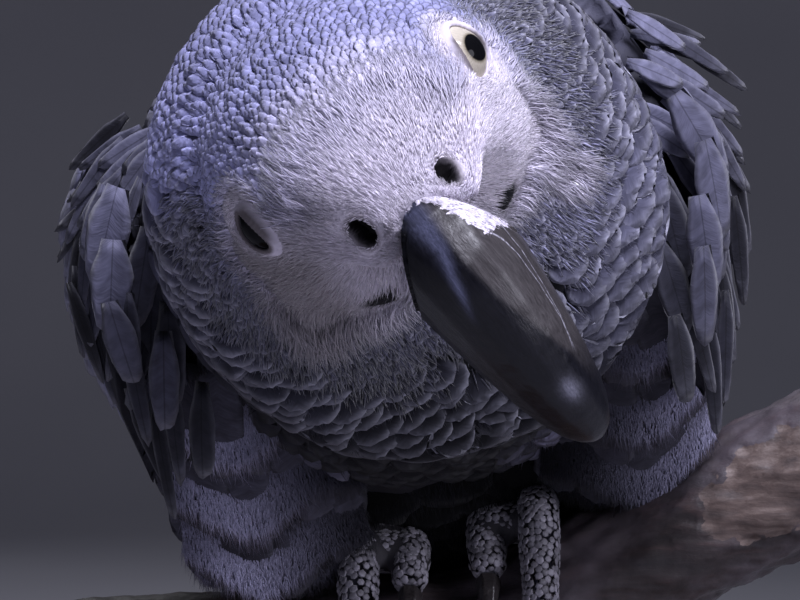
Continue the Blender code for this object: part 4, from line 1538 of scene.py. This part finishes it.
# Outline that the fan of shoulder feathers reaches: height and reach aside, in the body's frame
FAN_OUTLINE = {
    "left": ((25.0, 47.0), (14.0, 52.0), (0.0, 50.0), (-17.0, 45.5), (-33.0, 39.0)),
    "right": ((25.0, 41.0), (10.0, 47.5), (-9.0, 45.5), (-25.0, 37.0)),
}


def coverts(side, material):
    """Staggered feathers over the front of a wing, in three tracts."""
    lie = wing_lie(side)
    coat = Coat(51 + SIDES.index(side))
    rng = coat.rng
    small = VaneShape(6, 4, 0.7, 0.6, wide_at=0.4, full=True)
    large = VaneShape(6, 6, 0.8, 0.5, full=True)
    tint = np.array(plumage_settings().covert_colour)
    # Shape, first and last row and column as shares of the net, spacing, length, width, tone,
    # rim, lift, camber, turn and height, with lengths in millimetres
    for shape, (first, last), (left, right), *sizes in (
        (large, (0.36, 0.46), (0.06, 0.90), 9.0, 30.0, 9.5, 0.70, 0.30, 1.3, 0.08, 0.15, 0.8),
        (large, (0.20, 0.37), (0.03, 0.95), 6.2, 19.0, 7.6, 0.85, 0.30, 1.5, 0.08, 0.28, 0.8),
        (small, (0.012, 0.22), (0.03, 0.96), 3.4, 10.0, 4.8, 1.00, 0.35, 1.2, 0.10, 0.50, 0.2),
    ):
        spacing, length, width, tone, rim, lift, camber, turn, height = sizes
        rows, columns = [], []
        row = first * lie.rows
        while row < last * lie.rows:
            span = length_of(np.diff(lie.points[int(row)], axis=0)).sum() * (right - left)
            total = max(int(round(span / (width * MM * 0.78))), 2)
            place = (np.arange(total) + 0.25 + 0.5 * (len(rows) % 2)) / total
            place = left + place * (right - left)
            columns.append(place * lie.columns + rng.normal(0, 0.5, total))
            step = spacing * MM / np.median(length_of(lie.along[int(row)]))
            rows.append(row + rng.normal(0, 0.12, total) * step)
            row += step
        row, column = np.concatenate(rows), np.concatenate(columns)
        total = len(row)
        colour = tint * tone * rng.uniform(0.75, 1.2, (total, 1))
        turn = -turn * SIGNS[side] + rng.normal(0, 0.12, total)
        lift = lift * MM * rng.uniform(0.6, 1.5, total)
        coat.lay(
            lie, shape, row, column, length * MM * rng.uniform(0.85, 1.15, total),
            width * MM * rng.uniform(0.88, 1.12, total), colour, rim, turn=turn, lift=lift,
            camber=camber, jag=0.02, raise_by=height * MM,
        )
    coat.piece("wing_coverts_" + side, material, nodes=["wing_" + side])


def shoulder(side, material):
    """Feathers that stand off the front of the wing, fanned out and down. Their tips follow
    the wing's outline and their headings turn down from top to bottom."""
    coat = Coat(56 + SIDES.index(side))
    rng = coat.rng
    mirror = np.array([SIGNS[side], 1.0, 1.0])
    tint = np.array(plumage_settings().covert_colour)
    pointed = VaneShape(6, 6, 1.6, 0.5, wide_at=0.4, full=True, taper=0.25)
    broad = VaneShape(6, 6, 0.95, 0.55, full=True, taper=0.12)
    heights, reaches = np.array(FAN_OUTLINE[side])[::-1].T
    layers = (
        # Highest and lowest tip, number, inset, depth, length, width, tones, shape
        (24.0, -32.0, 13, 0.0, -53.0, (11.5, 17.0), (2.4, 2.6), (0.07, 0.10), pointed),
        (23.0, -26.0, 10, 1.5, -55.0, (11.0, 15.0), (2.6, 3.0), (0.45, 0.14), pointed),
        (21.0, -10.0, 8, 4.5, -58.0, (11.0, 13.0), (2.9, 3.6), (0.80, 0.35), broad),
        (17.0, 7.0, 4, 8.5, -60.0, (9.0, 10.0), (3.2, 3.4), (0.70, 0.85), broad),
        (3.0, -26.0, 5, 5.0, -61.5, (13.5, 13.0), (6.0, 4.2), (1.00, 0.12), broad),
        (-4.0, -16.0, 3, 8.5, -60.0, (14.0, 14.0), (5.0, 5.0), (0.35, 0.15), broad),
    )
    for high, low, number, inset, depth, lengths, widths, tones, shape in layers:
        part = np.linspace(0, 1, number)
        high = min(high, heights[-1] - (1.0 if side == "left" else 6.0))
        tip_z = high + (low - high) * part + rng.normal(0, 0.5, number)
        tip_x = np.interp(tip_z, heights, reaches) - inset + rng.normal(0, 0.5, number)
        fall = np.radians(np.interp(tip_z, (-25.0, -6.0, 8.0, 25.0), (92.0, 78.0, 44.0, 20.0)))
        fall = fall + rng.normal(0, 0.13, number)
        long, wide, tone = (
            (first + (last - first) * part) * rng.uniform(*luck, number)
            for (first, last), luck in zip(
                (lengths, widths, tones), ((0.9, 1.1), (0.9, 1.1), (0.55, 1.2))
            )
        )
        heading = stacked(np.cos(fall), np.full(number, 0.22), -np.sin(fall))
        tip = stacked(tip_x, np.full(number, depth), tip_z)
        root = tip - unit(heading) * long[:, None]
        root[:, 1] = depth + rng.normal(0, 0.6, number)
        up = np.array((0.25, -1.0, 0.25)) + rng.normal(0, 0.18, (number, 3))
        root = root * mirror * MM @ BODY_ROTATION.T + np.array(BODY_ORIGIN)
        heading, up = (v * mirror @ BODY_ROTATION.T for v in (heading, up))
        home = stacked(np.full(number, 0.3 + 0.02 * inset), part * 0.9 + 0.05)
        coat.stand(
            shape, root, heading, up, long * MM, wide * MM, tint * tone[:, None], 0.3, home,
            camber=0.05, droop=0.07, jag=0.03, twist=rng.normal(0, 0.15),
        )
    coat.piece("shoulder_feathers_" + side, material)


def flight_feathers(side, material):
    """Ten primaries from the wrist to the tip, then eleven secondaries above them."""
    lie = wing_lie(side)
    coat = Coat(61 + SIDES.index(side))
    tint = np.array(plumage_settings().flight_colour)
    for n in range(10):
        part = n / 9
        start = (0.40 - 0.02 * part, 0.90 - 0.04 * part)
        tip = (0.99 - 0.045 * (9 - n) ** 1.12, 0.62 - 0.2 * (1 - part))
        flight_feather(coat, lie, start, tip, 0.0115, tint * 0.8, 0.0002 + 0.00025 * n)
    for n in range(11):
        part = n / 10
        start = (0.36 + 0.02 * part, 0.84 - 0.76 * part)
        tip = (0.70 - 0.10 * part, 0.86 - 0.70 * part)
        flight_feather(coat, lie, start, tip, 0.0135, tint * 1.5, 0.0012 + 0.0002 * n)
    coat.piece("flight_feathers_" + side, material)


def flight_feather(coat, lie, start, tip, width, tint, height):
    """One long feather between places given as shares of the wing's net."""
    shape = VaneShape(6, 14, 0.7, 0.35, wide_at=0.3, full=True, taper=0.25)
    size = np.array((lie.rows, lie.columns))
    row, column = (np.array(start) * size)[:, None]
    aim, length = lie.reach(row, column, *(np.array(tip) * size))
    coat.lay(
        lie, shape, row, column, length, width, tint * coat.rng.uniform(0.85, 1.15), 0.3,
        lift=0.0012, camber=0.05, aim=aim, raise_by=height, thick=0.0006,
    )


class PARROT_OT_wing_feathers(ParrotOperator, bpy.types.Operator):
    """Ruffled shoulder feathers, coverts, secondaries and primaries of both wings"""

    bl_idname = "parrot.wing_feathers"
    bl_label = "Wing feathers"

    def execute(self, context):
        covert = feather_material("wing_coverts", 3.0, 0.04, 0.10, 0.6, 0.1)
        flight = feather_material("flight_feathers", 2.4, 0.06, 0.25, 0.5, 0.1)
        for side in SIDES:
            flight_feathers(side, flight)
            coverts(side, covert)
            shoulder(side, covert)
        return {"FINISHED"}


class PARROT_OT_tail_feathers(ParrotOperator, bpy.types.Operator):
    """Twelve red tail feathers and the coverts over their roots"""

    bl_idname = "parrot.tail_feathers"
    bl_label = "Tail feathers"

    def execute(self, context):
        rows, columns = 40, 30
        below = BODY_TURN @ Vector((0, 0, -1))
        net = np.zeros((rows, columns, 3))
        tree = tree_of(merged("tail"))
        for r, y in enumerate(np.linspace(90.5, 174.0, rows)):
            half = 11.0 + 13.0 * (y - 90.0) / 86.0
            for c, x in enumerate(np.linspace(-half, half, columns)):
                spot = tree.ray_cast(from_body(x, y, 60.0), below)[0]
                net[r, c] = spot if spot is not None else net[max(r - 1, 0), c]
        lie = Lie(soften(net, 3, False), False, -1.0)
        tint = np.array(plumage_settings().tail_colour)
        coat = Coat(71)
        shape = VaneShape(6, 12, 0.5, 0.5, full=True)
        # The outer feathers lie lowest
        for rank, n in enumerate(sorted(range(12), key=lambda n: -abs(n - 5.5))):
            part = n / 11
            start = np.array([0.2])
            column = np.array([(0.30 + 0.40 * part) * columns])
            end = rows * (0.99 - 0.05 * abs(2 * part - 1))
            aim, length = lie.reach(start, column, end, (0.06 + 0.88 * part) * columns)
            coat.lay(
                lie, shape, start, column, length, 0.0095, tint * coat.rng.uniform(0.85, 1.1), 0.1,
                lift=0.0003, camber=0.05, aim=aim, raise_by=-0.0020 + 0.00022 * rank, thick=0.0007,
            )
        rng = coat.rng
        total = 60
        row = rng.uniform(0.0, rows * 0.32, total)
        column = rng.uniform(0.1, 0.9, total) * columns
        small = VaneShape(6, 5, 0.6, 0.5, wide_at=0.4, full=True)
        coat.lay(
            lie, small, row, column, rng.uniform(0.014, 0.02, total), 0.0075,
            tint * rng.uniform(0.8, 1.15, (total, 1)), 0.2, lift=0.0006, camber=0.06,
            turn=rng.normal(0, 0.08, total), raise_by=0.0004,
        )
        material = feather_material("tail_feathers", 1.5, 0.10, 0.25, 0.55, 0.2)
        coat.piece("tail_feathers", material, "tail_red", ["tail"])
        return {"FINISHED"}


def eye_frame(side):
    """The frame whose Z is the way the eye looks, X towards the bill."""
    look = eye_direction(side)
    forward = HEAD_TURN @ Vector((0, -1, -0.25))
    forward = (forward - look * forward.dot(look)).normalized()
    upward = look.cross(forward)
    return Matrix((forward, upward, look)).transposed()


def eyeball(side, glaze):
    form = bmesh.new()
    bmesh.ops.create_uvsphere(form, u_segments=64, v_segments=48, radius=EYE_RADIUS)
    ring = []
    for vert in form.verts:
        flat = math.hypot(vert.co.x, vert.co.y)
        reach = flat / MM * IRIS_SCALE[side] if vert.co.z > 0 else 6.0
        ring.append((reach, math.atan2(vert.co.y, vert.co.x), 0.0))
        if vert.co.z > 0 and flat < 0.0033:
            vert.co.z += 0.00045 * (1 - (flat / 0.0033) ** 2)
    form.transform(Matrix.Translation(eye_centre(side)) @ eye_frame(side).to_4x4())
    mesh = meshed(form, "eyeball_" + side)
    paint(mesh, "ring", ring)
    settle("eyeball_" + side, mesh, glaze, ["eye_" + side])


def eyelid(side):
    """A soft rim round the opening, spun round the eye and drawn to an oval."""
    profile = []
    for degrees, reach in (
        (80, 4.2), (70, 5.0), (61, 5.40), (53, 5.62), (47, 5.70), (43, 5.62), (40.8, 5.42),
        (40.0, 5.20), (41.5, 5.02), (50, 4.8), (64, 4.4),
    ):
        angle = math.radians(degrees)
        profile.append(Vector((math.sin(angle), 0.0, math.cos(angle))) * reach * MM)
    form = bmesh.new()
    verts = [form.verts.new(p) for p in profile]
    edges = [form.edges.new((a, b)) for a, b in zip(verts, verts[1:] + verts[:1])]
    bmesh.ops.spin(
        form, geom=verts + edges, cent=(0, 0, 0), axis=(0, 0, 1), angle=2 * math.pi,
        steps=96, use_merge=True,
    )
    bmesh.ops.remove_doubles(form, verts=form.verts, dist=0.000002)
    long, short, lean, shift = OPENINGS[side]
    lean = math.radians(lean)
    round_half = 0.0052 * math.sin(math.radians(40.0))
    for vert in form.verts:
        reach = vert.co.length
        flat = math.hypot(vert.co.x, vert.co.y)
        angle = math.atan2(vert.co.y, vert.co.x)
        share = float(ease(0.0050, 0.0036, flat))
        x = vert.co.x * (1 + share * (long / round_half - 1))
        y = vert.co.y * (1 + share * (short / round_half - 1))
        vert.co.x = x * math.cos(lean) - y * math.sin(lean) + shift[0] * share
        vert.co.y = x * math.sin(lean) + y * math.cos(lean) + shift[1] * share
        flat = math.hypot(vert.co.x, vert.co.y)
        bulge = 0.00045 * max(0.0, 1 - (flat / 0.0033) ** 2)
        vert.co.z = math.sqrt(max(reach**2 - flat**2, 0.0)) + bulge
        vert.co += vert.co.normalized() * 0.00005 * math.sin(angle * 30) * share
    bmesh.ops.recalc_face_normals(form, faces=form.faces)
    centre = eye_centre(side)
    form.transform(Matrix.Translation(centre) @ eye_frame(side).to_4x4())
    mesh = meshed(form, "eyelid_" + side)
    offset = surface_of(mesh)[0] - np.array(centre)
    away = np.degrees(np.arccos(np.clip(unit(offset) @ np.array(eye_direction(side)), -1, 1)))
    colours = mix((0.16, 0.14, 0.15), (0.70, 0.65, 0.76), ease(36.0, 42.0, away))
    tint_points(mesh, colours)
    settle("eyelid_" + side, mesh, bpy.data.materials["parrot_skin"])


class PARROT_OT_eyes(ParrotOperator, bpy.types.Operator):
    """Eyeballs with pale irises, and the lids round them"""

    bl_idname = "parrot.eyes"
    bl_label = "Eyes and lids"

    def execute(self, context):
        glaze = eye_material()
        for side in SIDES:
            eyeball(side, glaze)
            eyelid(side)
        return {"FINISHED"}


def lay_of_horn(mesh, head, spread):
    """Each point's place across, down and back along the bill, in millimetres."""
    back = 0.847 * head[:, 1] - 0.53 * head[:, 2]
    places = stacked(head[:, 0], down_the_bill(head), back)
    paint(mesh, "horn_lay", places * spread)


def horn_piece(name, node, voxel, smoothing, material, spread=1.0):
    """A smooth horn form over a CAD node."""
    mesh = remeshed(merged(node), name, voxel, smoothing)
    points, normals = surface_of(mesh)
    if node == "bill_lower":
        head = in_head(points)
        tuck = np.maximum(np.abs(head[:, 0]) - 4.6, 0.0) * ease(-23.0, -17.0, head[:, 2])
        inward = np.array(HEAD_TURN @ Vector((1, 0, 0)))
        points = points - inward * (tuck * np.sign(head[:, 0]) * 0.85 * MM)[:, None]
    rough = wobble(points / MM, 0.9, 4) * 0.00004
    move_points(mesh, points + normals * rough[:, None])
    lay_of_horn(mesh, in_head(points), spread)
    tint_points(mesh, np.full((len(points), 3), 0.010), 0.0)
    return settle(name, mesh, material, [node])


def upper_bill(horn):
    """The horn from its arched edge on the cere to the tip, closed inside the head."""
    mesh = remeshed(merged("bill_upper", "cere"), "bill_upper_horn", 0.00040, 8)
    form = form_of(mesh)
    edge = horn_border(in_head(np.array([v.co for v in form.verts])))
    hidden = [v for v, g in zip(form.verts, edge) if g < -0.2]
    bmesh.ops.delete(form, geom=hidden, context="VERTS")
    for vert in [v for v in form.verts if v.is_boundary]:
        local = in_head(np.array([vert.co]))[0]
        gap = float(horn_border(local))
        slope = Vector((-0.33 * max(min(local[0], 8), -8), -0.53, -0.847))
        vert.co -= HEAD_TURN @ (slope * (gap / slope.length_squared)) * MM
    edges = [e for e in form.edges if e.is_boundary]
    made = bmesh.ops.extrude_edge_only(form, edges=edges)["geom"]
    inner = [v for v in made if isinstance(v, bmesh.types.BMVert)]
    core = from_head(0.0, -13.0, -9.0)
    for vert in inner:
        vert.co += (core - vert.co).normalized() * 0.0012
    bmesh.ops.holes_fill(form, edges=[e for e in form.edges if e.is_boundary])
    bmesh.ops.recalc_face_normals(form, faces=form.faces)
    form.to_mesh(mesh)
    form.free()
    points, normals = surface_of(mesh)
    head = in_head(points)
    edge = horn_border(head)
    across, down = head[:, 0], down_the_bill(head)
    pale = pale_base(across, down, head)
    rough = wobble(head, 0.9, 4) * 0.00002 + wobble(head, 0.25, 6) * 0.00005
    flakes = np.where(wobble(head, 0.9, 17) > 0.1, 0.00006, 0.0) * pale
    out = 0.00010 + rough + flakes - 0.0007 * ease(1.4, 0.0, edge) * (1 - pale)
    moved = points + normals * (out * (edge > 0.05))[:, None]
    move_points(mesh, moved)
    lay_of_horn(mesh, head, 1.0)
    tint_points(mesh, horn_colours(across, down), pale)
    settle("bill_upper_horn", mesh, horn, ["bill_upper"])
    cere_fuzz(moved, normals, pale, across)


def pale_base(across, down, head):
    """1 where the pale skin of the cere runs down over the left side of the base."""
    left = ease(0.2, 5.0, across)
    end = 10.5 + 7.6 * left + 0.3 * np.maximum(across - 3.0, 0.0) + wobble(head, 0.7, 9) * 1.1
    return ease(0.7, -0.7, down - end)


def horn_colours(across, down):
    """Black, browner on the left side, partly horn colour and partly painted light, with a painted
    bluish highlight on the ridge near the base.
    """
    # Painted highlight: a bluish streak along the ridge
    ridge = np.interp(down, (12.0, 17.0, 21.0, 26.0), (-0.8, -0.9, -2.2, -3.3))
    half = np.interp(down, (12.0, 17.0, 26.0), (1.5, 0.8, 0.35))
    streak = np.exp(-(((across - ridge) / half) ** 2)) * ease(27.5, 22.0, down)
    # The left side's brown is partly horn colour and partly painted light
    side = np.interp(down, (14.0, 20.0, 27.0, 37.0), (0.2, 0.2, 1.0, 3.5))
    brown_and_lit = ease(-0.4, 0.5, across - side) * ease(42.0, 33.0, down)
    colours = mix((0.005, 0.005, 0.008), (0.042, 0.038, 0.040), brown_and_lit)
    colours = mix(colours, (0.080, 0.085, 0.140), streak * 0.9)
    # A pale patch near the tip
    pale_tip_patch = np.exp(-(((down - 40.0) / 1.4) ** 2) - (((across - 0.6) / 1.1) ** 2))
    return mix(colours, (0.14, 0.14, 0.18), pale_tip_patch)


def cere_fuzz(points, normals, pale, across):
    """Very short pale hairs over the flaky base and the rim of the cere."""
    coat = Coat(33)
    chance = np.where((pale > 0.6) & (across > 0.3), 1.0, 0.0)
    short_fuzz(coat, points, normals, chance, 1700, (0.35, -0.53, -0.80), 0.0009, (0.45, 0.95))
    rim = bpy.data.objects["skin"].data
    points, normals = surface_of(rim)
    head = in_head(points)
    edge = horn_border(head)
    chance = ease(-3.4, -2.4, edge) * (edge < -0.30) * (head[:, 1] < -10.5)
    for side in SIDES:
        chance = chance * (gap_from(head, NOSTRILS[side]) > 2.1)
    short_fuzz(coat, points, normals, chance, 6500, (0.0, 0.53, 0.80), 0.0011, (0.70, 0.98))
    coat.piece("cere_fuzz", bpy.data.materials["face_wisps"])


def short_fuzz(coat, points, normals, chance, number, heading, long, tones):
    """Short hairs rooted on a piece's points where the chance is not 0."""
    rng = coat.rng
    pick = rng.choice(len(points), number, p=chance / chance.sum())
    root = points[pick] + rng.normal(0, 0.00015, (number, 3)) - normals[pick] * 0.00010
    spread = in_head(points[pick])[:, :1] * 0.05 * np.array(HEAD_TURN @ Vector((1, 0, 0)))
    heading = np.array(HEAD_TURN @ Vector(heading)) + spread + rng.normal(0, 0.18, (number, 3))
    heading -= normals[pick] * ((heading * normals[pick]).sum(-1, keepdims=True) - 0.12)
    tint = np.array(plumage_settings().face_colour) * rng.uniform(*tones, (number, 1))
    home = stacked(np.full(number, 0.2), (in_head(points[pick])[:, 0] + 10) / 20)
    coat.stand(
        HairShape(1), root, heading, normals[pick], long * rng.uniform(0.5, 1.0, number),
        0.00010, tint, 0.0, home, camber=0.35, droop=0.1,
    )


class PARROT_OT_bill(ParrotOperator, bpy.types.Operator):
    """Upper and lower bill of black horn, with pale flaky skin over the base"""

    bl_idname = "parrot.bill"
    bl_label = "Bill"

    def execute(self, context):
        horn = bill_material()
        upper_bill(horn)
        horn_piece("bill_lower_horn", "bill_lower", 0.00045, 4, horn)
        return {"FINISHED"}


class PARROT_OT_claws(ParrotOperator, bpy.types.Operator):
    """Eight curved black claws"""

    bl_idname = "parrot.claws"
    bl_label = "Claws"

    def execute(self, context):
        horn = claw_material()
        for side in SIDES:
            for toe in TOES:
                node = "claw_" + toe + "_" + side
                horn_piece(node + "_horn", node, 0.00022, 4, horn, 2.0)
        return {"FINISHED"}


# Steps from a cell to itself and the cells that touch it
NEAR_CELLS = np.mgrid[-1:2, -1:2, -1:2].reshape(3, 27).T


def spread_out(points, gap):
    """Which points stay when none may be nearer than a gap to one before it."""
    cells = {}
    keep = []
    for n, point in enumerate(points):
        key = tuple((point // gap).astype(int))
        around = [tuple(cell) for cell in np.array(key) + NEAR_CELLS]
        offsets = [point - points[m] for cell in around for m in cells.get(cell, ())]
        if all(offset @ offset >= gap * gap for offset in offsets):
            cells.setdefault(key, []).append(n)
            keep.append(n)
    return keep


def scale_shape():
    """A low six-sided dome with a closed under side."""
    shape = VaneShape(2, 1, 0.5, 0.6)
    shape.across = shape.along = shape.half = np.zeros(13)
    shape.under = np.zeros(13, bool)
    shape.top = [(0, 1 + k, 1 + (k + 1) % 6) for k in range(6)]
    shape.top += [(1 + k, 7 + k, 7 + (k + 1) % 6, 1 + (k + 1) % 6) for k in range(6)]
    shape.below = [tuple(range(12, 6, -1))]
    return shape


class PARROT_OT_foot_scales(ParrotOperator, bpy.types.Operator):
    """Small domed scales over toes, feet and shanks"""

    bl_idname = "parrot.foot_scales"
    bl_label = "Foot scales"

    def execute(self, context):
        nodes = leg_nodes("left") + leg_nodes("right")
        mesh = remeshed(merged(*nodes), "foot_form", 0.0005, 3)
        points, normals = surface_of(mesh)
        bpy.data.meshes.remove(mesh)
        rng = np.random.default_rng(81)
        order = rng.permutation(len(points))
        points, normals = points[order], normals[order]
        keep = spread_out(points, 0.00085)
        points, normals = points[keep], normals[keep]
        total = len(points)
        any_way = unit(np.cross(normals, rng.normal(size=(total, 3))))
        sideways = np.cross(normals, any_way)
        size = rng.uniform(0.00060, 0.00076, total)
        coat = Coat(82)
        angle = np.arange(6) / 6 * 2 * math.pi
        level = stacked(np.cos(angle), np.sin(angle), np.zeros(6))
        dome = np.concatenate([[[0, 0, 0.13]], level * 0.66 + (0, 0, 0.09), level - (0, 0, 0.10)])
        frames = np.stack([any_way, sideways, normals])
        spots = points + np.einsum("pa,aqc->pqc", dome, frames * size[:, None])
        pale = np.array((0.235, 0.225, 0.262)) * rng.uniform(0.6, 1.35, (total, 1))
        low, high = points.min(axis=0), points.max(axis=0)
        home = (points[:, :2] - low[:2]) / (high[:2] - low[:2]) * 0.98
        coat.add(spots, scale_shape(), home, size, size, pale, 0.0)
        material = speckled_material("scaly_skin", (0.55, 0.1), 1800.0, 0, 0.62, 0.5, 0.0002)
        coat.piece("foot_scales", material, "scaly_skin")
        return {"FINISHED"}


class PARROT_OT_perch(ParrotOperator, bpy.types.Operator):
    """The cut branch with its bark, knots and stripped patch"""

    bl_idname = "parrot.perch"
    bl_label = "Perch"

    def execute(self, context):
        mesh = remeshed(merged("perch_branch"), "perch_bark", 0.0008, 5)
        points, normals = surface_of(mesh)
        scaled = points / MM
        low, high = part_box("perch_branch")
        ends = np.minimum(points[:, 0] - low.x, high.x - points[:, 0])
        face = ease(0.0, 0.002, ends)
        lumps = wobble(scaled * np.array((0.6, 1.4, 1.4)), 0.11, 21) * 0.0006
        fine = wobble(scaled * np.array((0.5, 1.6, 1.6)), 0.55, 22) * 0.00018
        # The oval patch without bark: its middle and the way of its long axis
        offset = scaled - np.array((58.0, -16.0, PERCH_TOP / MM + 15.0))
        way = np.array((0.86, -0.15, 0.48))
        along = offset @ way
        aside = length_of(offset - along[:, None] * way)
        reach = np.hypot(along / 14.0, aside / 7.5) + wobble(scaled, 0.5, 8) * 0.15
        bare = ease(1.15, 0.85, reach)
        top = scaled[:, 2] > PERCH_TOP / MM - 30
        move = (lumps + fine) * face - 0.0005 * bare * top
        rim = ease(0.12, 0.0, np.abs(bare - 0.35)) * 0.0003
        move_points(mesh, points + normals * (move + rim)[:, None])
        paint(mesh, "stripped", bare, "FLOAT")
        settle("perch_bark", mesh, bark_material(), ["perch_branch"])
        return {"FINISHED"}


class PARROT_OT_stand(ParrotOperator, bpy.types.Operator):
    """Wood and steel on the stand's own solids"""

    bl_idname = "parrot.stand"
    bl_label = "Stand"

    def execute(self, context):
        wood, steel = stand_wood_material(), steel_material()
        looks = {"stand_base": wood, "stand_rod_left": steel, "stand_rod_right": steel}
        for node, material in looks.items():
            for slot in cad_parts[node].material_slots:
                slot.material = material
        return {"FINISHED"}


def add_lamp(name, place, target, size, power, colour):
    data = bpy.data.lights.new(name, "AREA")
    data.shape = "DISK"
    data.size = size
    data.energy = power
    data.color = colour
    lamp = new_object(name, data)
    lamp.location = place
    heading = Vector(target) - Vector(place)
    lamp.rotation_euler = heading.to_track_quat("-Z", "Y").to_euler()


class PARROT_OT_stage(ParrotOperator, bpy.types.Operator):
    """Pale floor and backdrop, soft lights and the camera"""

    bl_idname = "parrot.stage"
    bl_label = "Stage"

    def execute(self, context):
        scene = context.scene
        finish = Finish("stage_paper", 0.9)
        cloud = finish.noise(finish.place(), 3.0, 2.0)
        finish.base(finish.ramp(cloud, (0.3, (0.30, 0.30, 0.33)), (0.7, (0.34, 0.34, 0.37))))
        form = bmesh.new()
        profile = [Vector((-3.0, -1.6, 0.0)), Vector((-3.0, 1.6, 0.0))]
        for k in range(1, 13):
            angle = math.pi / 2 * k / 12
            profile.append(Vector((-3.0, 1.6 + 0.8 * math.sin(angle), 0.8 - 0.8 * math.cos(angle))))
        profile.append(Vector((-3.0, 2.4, 3.2)))
        verts = [form.verts.new(p) for p in profile]
        edges = [form.edges.new((a, b)) for a, b in zip(verts, verts[1:])]
        made = bmesh.ops.extrude_edge_only(form, edges=edges)["geom"]
        fresh = [v for v in made if isinstance(v, bmesh.types.BMVert)]
        bmesh.ops.translate(form, verts=fresh, vec=(6.0, 0.0, 0.0))
        mesh = meshed(form, "stage_floor")
        floor = new_object("stage_floor", mesh)
        mesh.materials.append(finish.material)
        mesh.shade_smooth()

        bird = (0.0, -0.06, 0.16)
        add_lamp("lamp_above", (0.12, -0.46, 0.86), bird, 0.26, 11.5, (0.83, 0.83, 1.0))
        add_lamp("lamp_right", (0.75, -0.55, 0.42), bird, 0.40, 4.6, (0.86, 0.85, 1.0))
        add_lamp("lamp_back", (-0.4, 0.8, 0.9), (0.0, 0.0, 0.15), 0.8, 2.5, (0.93, 0.93, 1.0))
        world = bpy.data.worlds.new("studio")
        scene.world = world
        world.use_nodes = True
        shade = world.node_tree.nodes["Background"]
        shade.inputs["Color"].default_value = (0.82, 0.83, 1.0, 1.0)
        shade.inputs["Strength"].default_value = 0.04

        data = bpy.data.cameras.new("camera")
        data.lens = 150.0
        data.sensor_width = 36.0
        data.clip_start = 0.02
        data.clip_end = 20.0
        camera = new_object("camera", data)
        camera.location = (0.0, -0.515, 0.147)
        camera.rotation_euler = (math.pi / 2, 0.0, 0.0)
        scene.camera = camera
        scene.view_settings.view_transform = "Standard"
        return {"FINISHED"}


STEPS = (
    PARROT_OT_stage,
    PARROT_OT_skin,
    PARROT_OT_eyes,
    PARROT_OT_face_wisps,
    PARROT_OT_bill,
    PARROT_OT_head_feathers,
    PARROT_OT_body_feathers,
    PARROT_OT_wing_feathers,
    PARROT_OT_tail_feathers,
    PARROT_OT_claws,
    PARROT_OT_foot_scales,
    PARROT_OT_perch,
    PARROT_OT_stand,
)


class PARROT_PT_panel(bpy.types.Panel):
    """Lists the pieces in the sidebar"""

    bl_idname = "PARROT_PT_panel"
    bl_label = "Grey parrot"
    bl_space_type = "VIEW_3D"
    bl_region_type = "UI"
    bl_category = "Parrot"

    def draw(self, context):
        column = self.layout.column()
        settings = context.scene.parrot_plumage
        for key in settings.__annotations__:
            column.prop(settings, key)
        for step in STEPS:
            column.operator(step.bl_idname)


CLASSES = (PlumageSettings, *STEPS, PARROT_PT_panel)


def register():
    for kind in CLASSES:
        bpy.utils.register_class(kind)
    bpy.types.Scene.parrot_plumage = bpy.props.PointerProperty(type=PlumageSettings)


def unregister():
    del bpy.types.Scene.parrot_plumage
    for kind in reversed(CLASSES):
        bpy.utils.unregister_class(kind)


def main():
    register()
    for step in STEPS:
        group, name = step.bl_idname.split(".")
        getattr(getattr(bpy.ops, group), name)()


if __name__ == "__main__":
    main()
